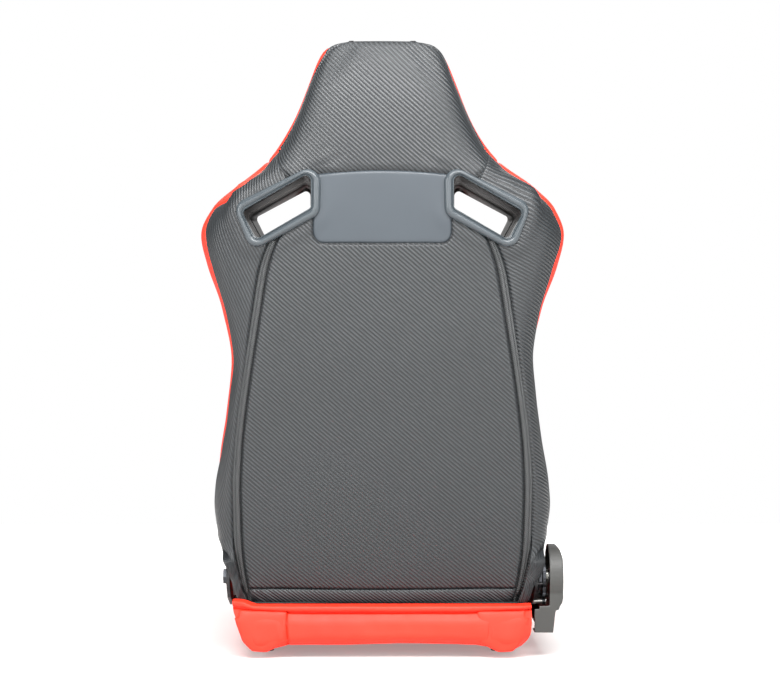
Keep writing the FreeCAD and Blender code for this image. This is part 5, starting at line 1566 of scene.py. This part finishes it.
    def _hem(self) -> None:
        """Rolled hem along the lower edge."""
        rows = graded(self.hem_bottom, self.hem_top, 3.0, (0.8, 1.8, 3.0, 4.6, 6.4))
        zips = self.form.from_x(self.zip_inner(rows), rows) - 0.5
        unit = graded(-1.0, 1.0, 0.018, (0.003, 0.008, 0.014))
        q = zips[:, None] * unit[None, :]
        h = np.repeat(rows[:, None], q.shape[1], 1)
        middle = (rows[:, None] - self.hem_bottom) / (self.hem_top - self.hem_bottom)
        lift = -2.6 + 4.4 * np.sqrt(np.clip(1 - (2 * middle - 1) ** 2, 0, 1))
        end = zips[:, None] - np.abs(q)
        lift = lift + 0.3 * ripple(q, h, 60, 71) - 1.8 * np.exp(-end / 2.5)
        lift += 0.8 * np.exp(-((np.abs(q) - 190) / 20) ** 2) * np.sin((q + h) / 3.0)
        obj = self.panel("rear_hem", Face.REAR, q, h, lift, rims=False)
        self._finish(obj, "twill_vinyl_hem", "twill_vinyl", ["rear_hem_strip"])

    def _lining(self) -> None:
        """Black sheet right under the rear panels, painted shade that shows as a dark line in their seams."""
        rows = graded(self.hem_bottom, 832.0, 5.0)
        left, right = -self.seam_s(rows, Side.LEFT) - 26, self.seam_s(rows, Side.RIGHT) + 26
        share = np.linspace(0, 1, 130)
        q = left[:, None] + (right - left)[:, None] * share[None, :]
        h = np.repeat(rows[:, None], q.shape[1], 1)
        lift = np.full(q.shape, -4.3) - 3.8 * smooth(8, 2, self.yoke_distance(q, h))
        obj = self.panel("seam_lining", Face.REAR, q, h, lift)
        self._finish(obj, "black_lining", "twill_vinyl", [])

    def _lower_closing(self) -> None:
        """Black lining that closes the backrest's lower end, round the recline axis."""
        angles = np.radians(np.linspace(214, 328, 30))
        radius = 53.5
        unit = graded(-1.0, 1.0, 0.06, (0.01, 0.03))
        half = 223.0
        x = np.repeat((unit * half)[None, :], len(angles), 0)
        d, h = radius * np.cos(angles)[:, None] + 0 * x, radius * np.sin(angles)[:, None] + 0 * x
        sag = 0.6 * ripple(x, d * 3, 50, 81)
        outer = np.stack([x, d, h - sag], -1)
        inner = np.stack([x, d * 0.96, (h - sag) * 0.96], -1)
        uv = np.stack([x, radius * angles[:, None] + 0 * x], -1) * MM
        obj = shell("lower_closing_cloth", to_row(outer), to_row(inner), uv)
        self.finishes.dress(obj, "black_lining", "twill_vinyl", Body.BACK)


# ------------------------------------------------------------------ seat base

def settle(points: Array, faces: Array, passes: int) -> Array:
    """Smooth a mesh a little, so that edges read as stuffed cloth.

    Args:
        points: vertices.
        faces: quads.
        passes: how many rounds.
    Returns:
        Moved vertices.
    """
    edges = np.unique(np.sort(np.concatenate([faces[:, [k, (k + 1) % 4]] for k in range(4)]), axis=1), axis=0)
    for _ in range(passes):
        total, count = np.zeros_like(points), np.zeros(len(points))
        for a, b in ((0, 1), (1, 0)):
            np.add.at(total, edges[:, a], points[edges[:, b]])
            np.add.at(count, edges[:, a], 1)
        points = points * 0.5 + 0.5 * total / np.maximum(count, 1)[:, None]
    return points


def stuffed(name: str, nodes: Sequence[str], voxel: float, swell: float, passes: int = 2) -> bpy.types.Object:
    """Stuffed cushion over CAD pieces: one closed cloth skin, blown up a little and relaxed.

    Args:
        name: the piece's name.
        nodes: CAD nodes it stands for.
        voxel: mesh size in metres.
        swell: pressure of the cloth simulation, 0 for none.
        passes: smoothing rounds before it.
    Returns:
        The object.
    """
    scene = bpy.context.scene
    parts = [frame["nodes"][n].data.copy() for n in nodes]
    base = bpy.data.objects.new(name, parts[0])
    scene.collection.objects.link(base)
    extra = [bpy.data.objects.new(f"{name}_{k}", m) for k, m in enumerate(parts[1:])]
    for obj in extra:
        scene.collection.objects.link(obj)
    with bpy.context.temp_override(active_object=base, object=base, selected_editable_objects=[base, *extra],
                                   selected_objects=[base, *extra]):
        if extra:
            bpy.ops.object.join()
    remesh = base.modifiers.new("remesh", "REMESH")
    remesh.mode, remesh.voxel_size, remesh.adaptivity = "VOXEL", voxel, 0.0
    apply_all(base)
    mesh = base.data
    points = np.empty(len(mesh.vertices) * 3)
    mesh.vertices.foreach_get("co", points)
    faces = np.array([tuple(p.vertices) for p in mesh.polygons if len(p.vertices) == 4])
    points = settle(points.reshape(-1, 3), faces, passes)
    mesh.vertices.foreach_set("co", points.ravel())
    mesh.update()
    if swell > 0:
        blow(base, points, swell)
    smooth_shade(base)
    return base


def apply_all(obj: bpy.types.Object) -> None:
    """Replace an object's mesh with its evaluated one and drop the modifiers."""
    graph = bpy.context.evaluated_depsgraph_get()
    graph.update()
    mesh = bpy.data.meshes.new_from_object(obj.evaluated_get(graph))
    obj.modifiers.clear()
    obj.data = mesh


def smooth_shade(obj: bpy.types.Object, sharp: float = 60.0) -> None:
    """Shade an object smooth, with crisp edges above an angle in degrees."""
    obj.data.shade_smooth()
    obj.data.set_sharp_from_angle(angle=math.radians(sharp))


def blow(obj: bpy.types.Object, start: Array, pressure: float, limit: float = 4.5) -> None:
    """Run a short cloth simulation with air pressure and keep its result, within a limit.

    Args:
        obj: closed mesh.
        start: its vertices before, to measure movement from.
        pressure: air pressure.
        limit: largest movement of a vertex in millimetres.
    """
    cloth = obj.modifiers.new("cloth", "CLOTH")
    settings = cloth.settings
    settings.use_pressure, settings.uniform_pressure_force = True, pressure
    settings.effector_weights.gravity = 0.0
    settings.tension_stiffness = settings.compression_stiffness = 40.0
    settings.bending_stiffness, settings.quality = 6.0, 4
    scene = bpy.context.scene
    for number in range(1, 15):
        scene.frame_set(number)
    apply_all(obj)
    scene.frame_set(1)
    after = np.empty(len(start) * 3)
    obj.data.vertices.foreach_get("co", after)
    move = after.reshape(-1, 3) - start
    size = np.linalg.norm(move, axis=1, keepdims=True)
    move *= np.minimum(1.0, limit * MM / np.maximum(size, 1e-9))
    obj.data.vertices.foreach_set("co", (start + move).ravel())
    obj.data.update()


@dataclass
class SeatBase:
    """Padded seat base: bolsters, centre cushion and the trim across its rear."""
    finishes: Finishes
    rear_y: float = -264.0
    half_width: dict[Side, Profile] = field(default_factory=lambda: {
        Side.LEFT: Profile(((0, 238), (12, 238), (22, 235), (34, 227), (52, 219), (64, 210))),
        Side.RIGHT: Profile(((0, 236.5), (6, 237), (32, 237.6), (50, 235.5), (58, 231), (64, 222)))})
    fold_top: float = 86.5
    seams: tuple[tuple[float, float], ...] = ((-154.0, -150.0), (177.0, 167.0))

    def build(self) -> None:
        """Make every piece of the base's trim."""
        self._centre()
        for side in Side:
            self._bolster(side)
        self._rear_trim()

    def _displace(self, obj: bpy.types.Object, lift: Callable[[Array, Array], Array]) -> None:
        """Move vertices along their normals.

        Args:
            obj: the piece.
            lift: function of points and normals, in millimetres, that gives the lift.
        """
        mesh = obj.data
        points, normals = np.empty(len(mesh.vertices) * 3), np.empty(len(mesh.vertices) * 3)
        mesh.vertices.foreach_get("co", points)
        mesh.vertices.foreach_get("normal", normals)
        points, normals = points.reshape(-1, 3), normals.reshape(-1, 3)
        points = points + normals * (lift(points / MM, normals) * MM)[:, None]
        mesh.vertices.foreach_set("co", points.ravel())
        mesh.update()

    def _centre(self) -> None:
        """Centre cushion with sewn cross channels."""
        obj = stuffed("cushion_cover", ["cushion_centre_panel", "cushion_centre_foam"], 0.0042, 3.0)

        def channels(p: Array, n: Array) -> Array:
            """Grooves across the sitting face and down the front."""
            facing = smooth(0.3, 0.6, n[:, 2] + 0.9 * np.maximum(n[:, 1], 0)) * (p[:, 1] > -128)
            run = p[:, 1] - 0.6 * np.minimum(p[:, 2] - 150, 0) * (p[:, 1] > 200)
            gap = np.mod(run + 130.0, 56.0)
            gap = np.minimum(gap, 56.0 - gap)
            groove = -3.4 * np.exp(-(gap / 3.2) ** 2) + 2.0 * (1 - np.exp(-gap / 9.0))
            return groove * facing + 0.4 * ripple(p[:, 0], p[:, 1] + p[:, 2], 80, 91)

        self._displace(obj, channels)
        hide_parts("cushion_centre_panel", "cushion_centre_foam")
        self.finishes.dress(obj, "red_leatherette", "red_leatherette", Body.BASE)

    def _bolster(self, side: Side) -> None:
        """Thigh bolster with a seam along its crest's inner edge.

        Args:
            side: which side.
        """
        cover, foam = f"thigh_bolster_cover_{side.word}", f"thigh_bolster_foam_{side.word}"
        obj = stuffed(f"thigh_bolster_{side.word}", [cover, foam], 0.0042, 3.0)

        def seams(p: Array, n: Array) -> Array:
            """Seam line over the crest, and the cloth's gentle waves."""
            x = p[:, 0] * side.value
            line = np.abs(x - 222.0)
            above = smooth(95, 120, p[:, 2])
            groove = -2.4 * np.exp(-(line / 2.6) ** 2) * above
            return groove + 0.6 * ripple(p[:, 1], p[:, 2] + p[:, 0], 90, 93 + side.value)

        self._displace(obj, seams)
        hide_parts(cover, foam)
        self.finishes.dress(obj, "red_leatherette", "red_leatherette", Body.BASE)

    def _rear_trim(self) -> None:
        """Red trim across the rear: a rolled fold on top, seams at both corners, and a tucked lower edge."""
        xs = np.unique(np.concatenate([np.linspace(-1, 1, 97)] + [
            np.arange(-9, 9.1, 1.5) / 236.0 + sum(seam) / 472.0 for seam in self.seams]))
        steps = np.array([0, 0.8, 1.8, 3.0, 4.6, 6.4, 8.4, 10.4, 12.2, 13.0, 13.8, 14.6, 15.6, 17.0, 20, 24, 28,
                          33, 38, 43, 48, 52, 55, 58, 60.5, 62.5, 64])
        share = steps / steps[-1]
        wide = np.where(xs[None, :] < 0, self.half_width[Side.LEFT](steps)[:, None],
                        self.half_width[Side.RIGHT](steps)[:, None])
        x = wide * xs[None, :]
        side = np.abs(xs)[None, :]
        slope = np.where(x < 0, np.interp(-x, [0, 120, 150, 188, 200, 216, 236], [0, 0, 1.5, 13, 13, 5, 2]),
                         np.interp(x, [0, 120, 150, 190, 214, 226, 236], [0, 0, 1.5, 11, 11, 6, 1]))
        z = self.fold_top - steps[:, None] + 0 * x
        z = z + 0.34 * np.minimum(steps, 12.4)[:, None] * smooth(120, 236, np.abs(x))
        z = z + 7.0 * smooth(200, 226, -x) * smooth(22, 4, steps)[:, None]
        low_part = smooth(18, 64, steps)[:, None]
        z = z - slope * low_part + 1.2 * low_part * ripple(x, z * 0, 120, 101)
        corner = smooth(0.9, 1.0, side)
        depth = np.zeros_like(x) + self.rear_y + 5.0
        fold = np.sqrt(np.clip(1 - ((steps[:, None] - 6.0) / 6.4) ** 2, 0, 1))
        depth -= 6.2 * fold * (steps[:, None] < 12.4)
        depth += 6.0 * smooth(4.0, 0.0, steps)[:, None]
        belly = smooth(13, 30, steps)[:, None] * smooth(66, 48, steps)[:, None]
        depth -= 5.5 * belly
        depth += 5.0 * np.exp(-((steps[:, None] - 13.4) / 1.1) ** 2)
        lines = [high + (low - high) * share[:, None] for high, low in self.seams]
        gap = np.minimum(*(np.abs(x - line) for line in lines))
        depth += 4.2 * np.exp(-(gap / 1.8) ** 2) * (steps[:, None] > 12)
        depth -= 1.2 * (1 - np.exp(-gap / 16.0)) * belly
        depth += 9.0 * corner ** 2 + 4.0 * smooth(56, 64, steps)[:, None]
        pleat = np.exp(-((x - lines[0] + 14 - 0.22 * steps[:, None]) / 3.0) ** 2)
        depth += 2.8 * pleat * smooth(14, 24, steps)[:, None]
        depth += 0.7 * ripple(x, z, 46, 103) * smooth(0, 4, steps)[:, None]
        outer = np.stack([x, depth, z], -1) * MM
        inner = np.stack([x * 0.985, depth + 5.0, z + 0 * x], -1) * MM
        uv = np.stack([x, z], -1) * MM
        obj = shell("base_rear_trim", outer, inner, uv)
        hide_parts("cushion_rear_panel")
        self.finishes.dress(obj, "red_leatherette", "red_leatherette", Body.BASE)


# ------------------------------------------------------------------ hardware

@dataclass
class Hardware:
    """Finishes for the pieces that stay as they were packed."""
    finishes: Finishes
    rules: tuple[tuple[str, str], ...] = (
        ("foam", "seat_foam"), ("back_board", "pressed_board"), ("clips", "nylon_clip"),
        ("spring", "spring_steel"), ("recliner_cover_screws", "zinc_steel"), ("recliner_cover", "cover_plastic"),
        ("recline_lever", "lever_plastic"), ("lever_", "zinc_steel"), ("hinge_bolt", "spring_steel"),
        ("hinge_nut", "zinc_steel"), ("arm_bolts", "zinc_steel"), ("pawl_pin", "zinc_steel"),
        ("toothed_sector", "spring_steel"), ("recliner_pawl", "spring_steel"))

    def build(self) -> None:
        """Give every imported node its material."""
        for name, obj in frame["nodes"].items():
            finish = next((f for word, f in self.rules if word in name), "powder_steel")
            obj.data.materials.clear()
            obj.data.materials.append(self.finishes.made[finish])


@dataclass
class Mouldings:
    """Plastic pieces of the recliner with the soft edges and draft of real mouldings."""
    finishes: Finishes
    axis_y: float = PIVOT_Y
    axis_z: float = PIVOT_Z

    def build(self) -> None:
        """Make the cover and the lever."""
        self._soften("recliner_shell", "recliner_cover", 0.00125, 3, self._draft, "cover_plastic", Body.BASE)
        self._soften("recline_handle", "recline_lever", 0.0010, 3, self._crown, "lever_plastic", Body.LEVER)

    def _draft(self, p: Array) -> Array:
        """Outer face of the cover: a raised collar round the lever's hub at the rear, and draft below."""
        face = np.interp(p[:, 2], [38, 76, 82, 88, 95, 157, 169, 177],
                         [276, 281, 283, 286.5, 288, 288, 285, 279])
        r = np.hypot(p[:, 1] - self.axis_y, p[:, 2] - self.axis_z)
        rear = smooth(12, -6, p[:, 1] - self.axis_y)
        upper = smooth(74, 84, p[:, 2])
        plain = np.minimum(face, 282.0 - 4.0 * smooth(158, 178, p[:, 2]))
        target = np.where(r < 34.5, 282.0, plain + (face - plain) * rear * upper)
        share = smooth(268, 280, p[:, 0])
        out = p.copy()
        out[:, 0] = p[:, 0] + (target - 282.0) * share
        return out

    def _crown(self, p: Array) -> Array:
        """Slight crown on the lever's face."""
        out = p.copy()
        r = np.hypot(p[:, 1] - self.axis_y, p[:, 2] - self.axis_z)
        out[:, 0] = np.where(p[:, 0] > 287, p[:, 0] - 1.4 * smooth(6, 30, r) * (r < 32), p[:, 0])
        return out

    def _soften(self, name: str, node: str, voxel: float, passes: int, shape: Callable[[Array], Array],
                finish: str, body: Body) -> None:
        """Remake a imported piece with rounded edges.

        Args:
            name: the piece's name.
            node: CAD node it stands for.
            voxel: mesh size in metres.
            passes: smoothing rounds.
            shape: change of form, in millimetres.
            finish: finish name.
            body: CAD body.
        """
        obj = stuffed(name, [node], voxel, 0.0, passes)
        mesh = obj.data
        points = np.empty(len(mesh.vertices) * 3)
        mesh.vertices.foreach_get("co", points)
        points = shape(points.reshape(-1, 3) / MM) * MM
        faces = np.array([tuple(p.vertices) for p in mesh.polygons if len(p.vertices) == 4])
        points = settle(points, faces, 1)
        mesh.vertices.foreach_set("co", points.ravel())
        mesh.update()
        smooth_shade(obj, 50)
        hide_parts(node)
        self.finishes.dress(obj, finish, finish, body)


# ------------------------------------------------------------------ stage

@dataclass(frozen=True)
class Stage:
    """Camera, pale floor and soft lights."""
    distance: float = 3.0
    camera_z: float = 0.490
    camera_x: float = 0.0
    turn: float = math.radians(-0.235)
    lens: float = 85.7
    floor_tone: str = "#CCCAC8"
    sky_tone: float = 0.3
    floor_glow: float = 0.25

    def build(self) -> None:
        """Set up everything round the seat."""
        scene = bpy.context.scene
        camera = bpy.data.objects.new("camera", bpy.data.cameras.new("camera"))
        scene.collection.objects.link(camera)
        camera.location = (self.camera_x, PIVOT_Y * MM - self.distance, self.camera_z)
        camera.rotation_euler = (math.radians(90), 0, self.turn)
        camera.data.lens = self.lens
        camera.data.sensor_width = 36.0
        camera.data.clip_end = 50
        scene.camera = camera
        self._floor()
        self._light("key", (0.15, -1.5, 1.75), (46, 0, 4), (1.9, 0.8), 80)
        self._light("low", (0.0, -3.7, 0.85), (90, 0, 0), (4.4, 1.2), 76)
        self._light("left", (-2.6, -1.9, 1.3), (80, 0, -57), (0.9, 1.6), 60)
        self._light("right", (2.6, -1.9, 1.3), (80, 0, 57), (0.9, 1.6), 46)
        self._light("top", (0.0, -0.4, 2.8), (0, 0, 0), (3.0, 1.4), 50)
        self._light("front", (0.0, 3.0, 2.0), (-58, 0, 0), (3.0, 2.0), 24)
        world = bpy.data.worlds.new("studio")
        world.use_nodes = True
        tree = world.node_tree
        path = add_node(tree, "LightPath")
        sky = add_node(tree, "MapRange", {"To Min": self.sky_tone, "To Max": 1.0},
                       {"Value": path.outputs["Is Camera Ray"]})
        tree.links.new(sky.outputs[0], tree.nodes["Background"].inputs[1])
        tree.nodes["Background"].inputs[0].default_value = (1, 1, 1, 1)
        scene.world = world
        scene.view_settings.view_transform = "Standard"

    def _floor(self) -> None:
        """Large pale floor."""
        mesh = bpy.data.meshes.new("floor")
        mesh.from_pydata([(-9, -9, 0), (9, -9, 0), (9, 2, 0), (-9, 2, 0)], [], [(0, 1, 2, 3)])
        floor = bpy.data.objects.new("floor", mesh)
        bpy.context.scene.collection.objects.link(floor)
        material, tree, shader = start_material("studio_floor", Base_Color=srgb(self.floor_tone),
                                                Roughness=0.8, Emission_Color=(1, 1, 1, 1))
        place = add_node(tree, "NewGeometry")
        reach = add_node(tree, "VectorMath", None, {"Vector": place.outputs["Position"]}, operation="LENGTH")
        glow = add_node(tree, "MapRange",
                        {"From Min": 0.5, "From Max": 1.3, "To Min": self.floor_glow, "To Max": 1.0},
                        {"Value": reach.outputs["Value"]})
        tree.links.new(glow.outputs[0], shader.inputs["Emission Strength"])
        mesh.materials.append(material)

    def _light(self, name: str, place: tuple, turn: tuple, size: tuple, power: float) -> None:
        """One soft box.

        Args:
            name: light name.
            place: position in metres.
            turn: rotation in degrees.
            size: width and height in metres.
            power: watts.
        """
        data = bpy.data.lights.new(name, "AREA")
        data.shape, data.size, data.size_y, data.energy = "RECTANGLE", *size, power
        light = bpy.data.objects.new(name, data)
        light.location = place
        light.rotation_euler = tuple(math.radians(a) for a in turn)
        bpy.context.scene.collection.objects.link(light)


def main() -> None:
    """Build the seat piece by piece."""
    logging.basicConfig(level=logging.INFO, format="%(name)s: %(message)s")
    finishes = Finishes()
    Hardware(finishes).build()
    form = BackForm()
    openings = tuple(HarnessOpening(form, side) for side in Side)
    BackCovers(form, openings, finishes).build()
    for opening in openings:
        opening.build(finishes)
    SeatBase(finishes).build()
    Mouldings(finishes).build()
    Stage().build()


if __name__ == "__main__":
    main()
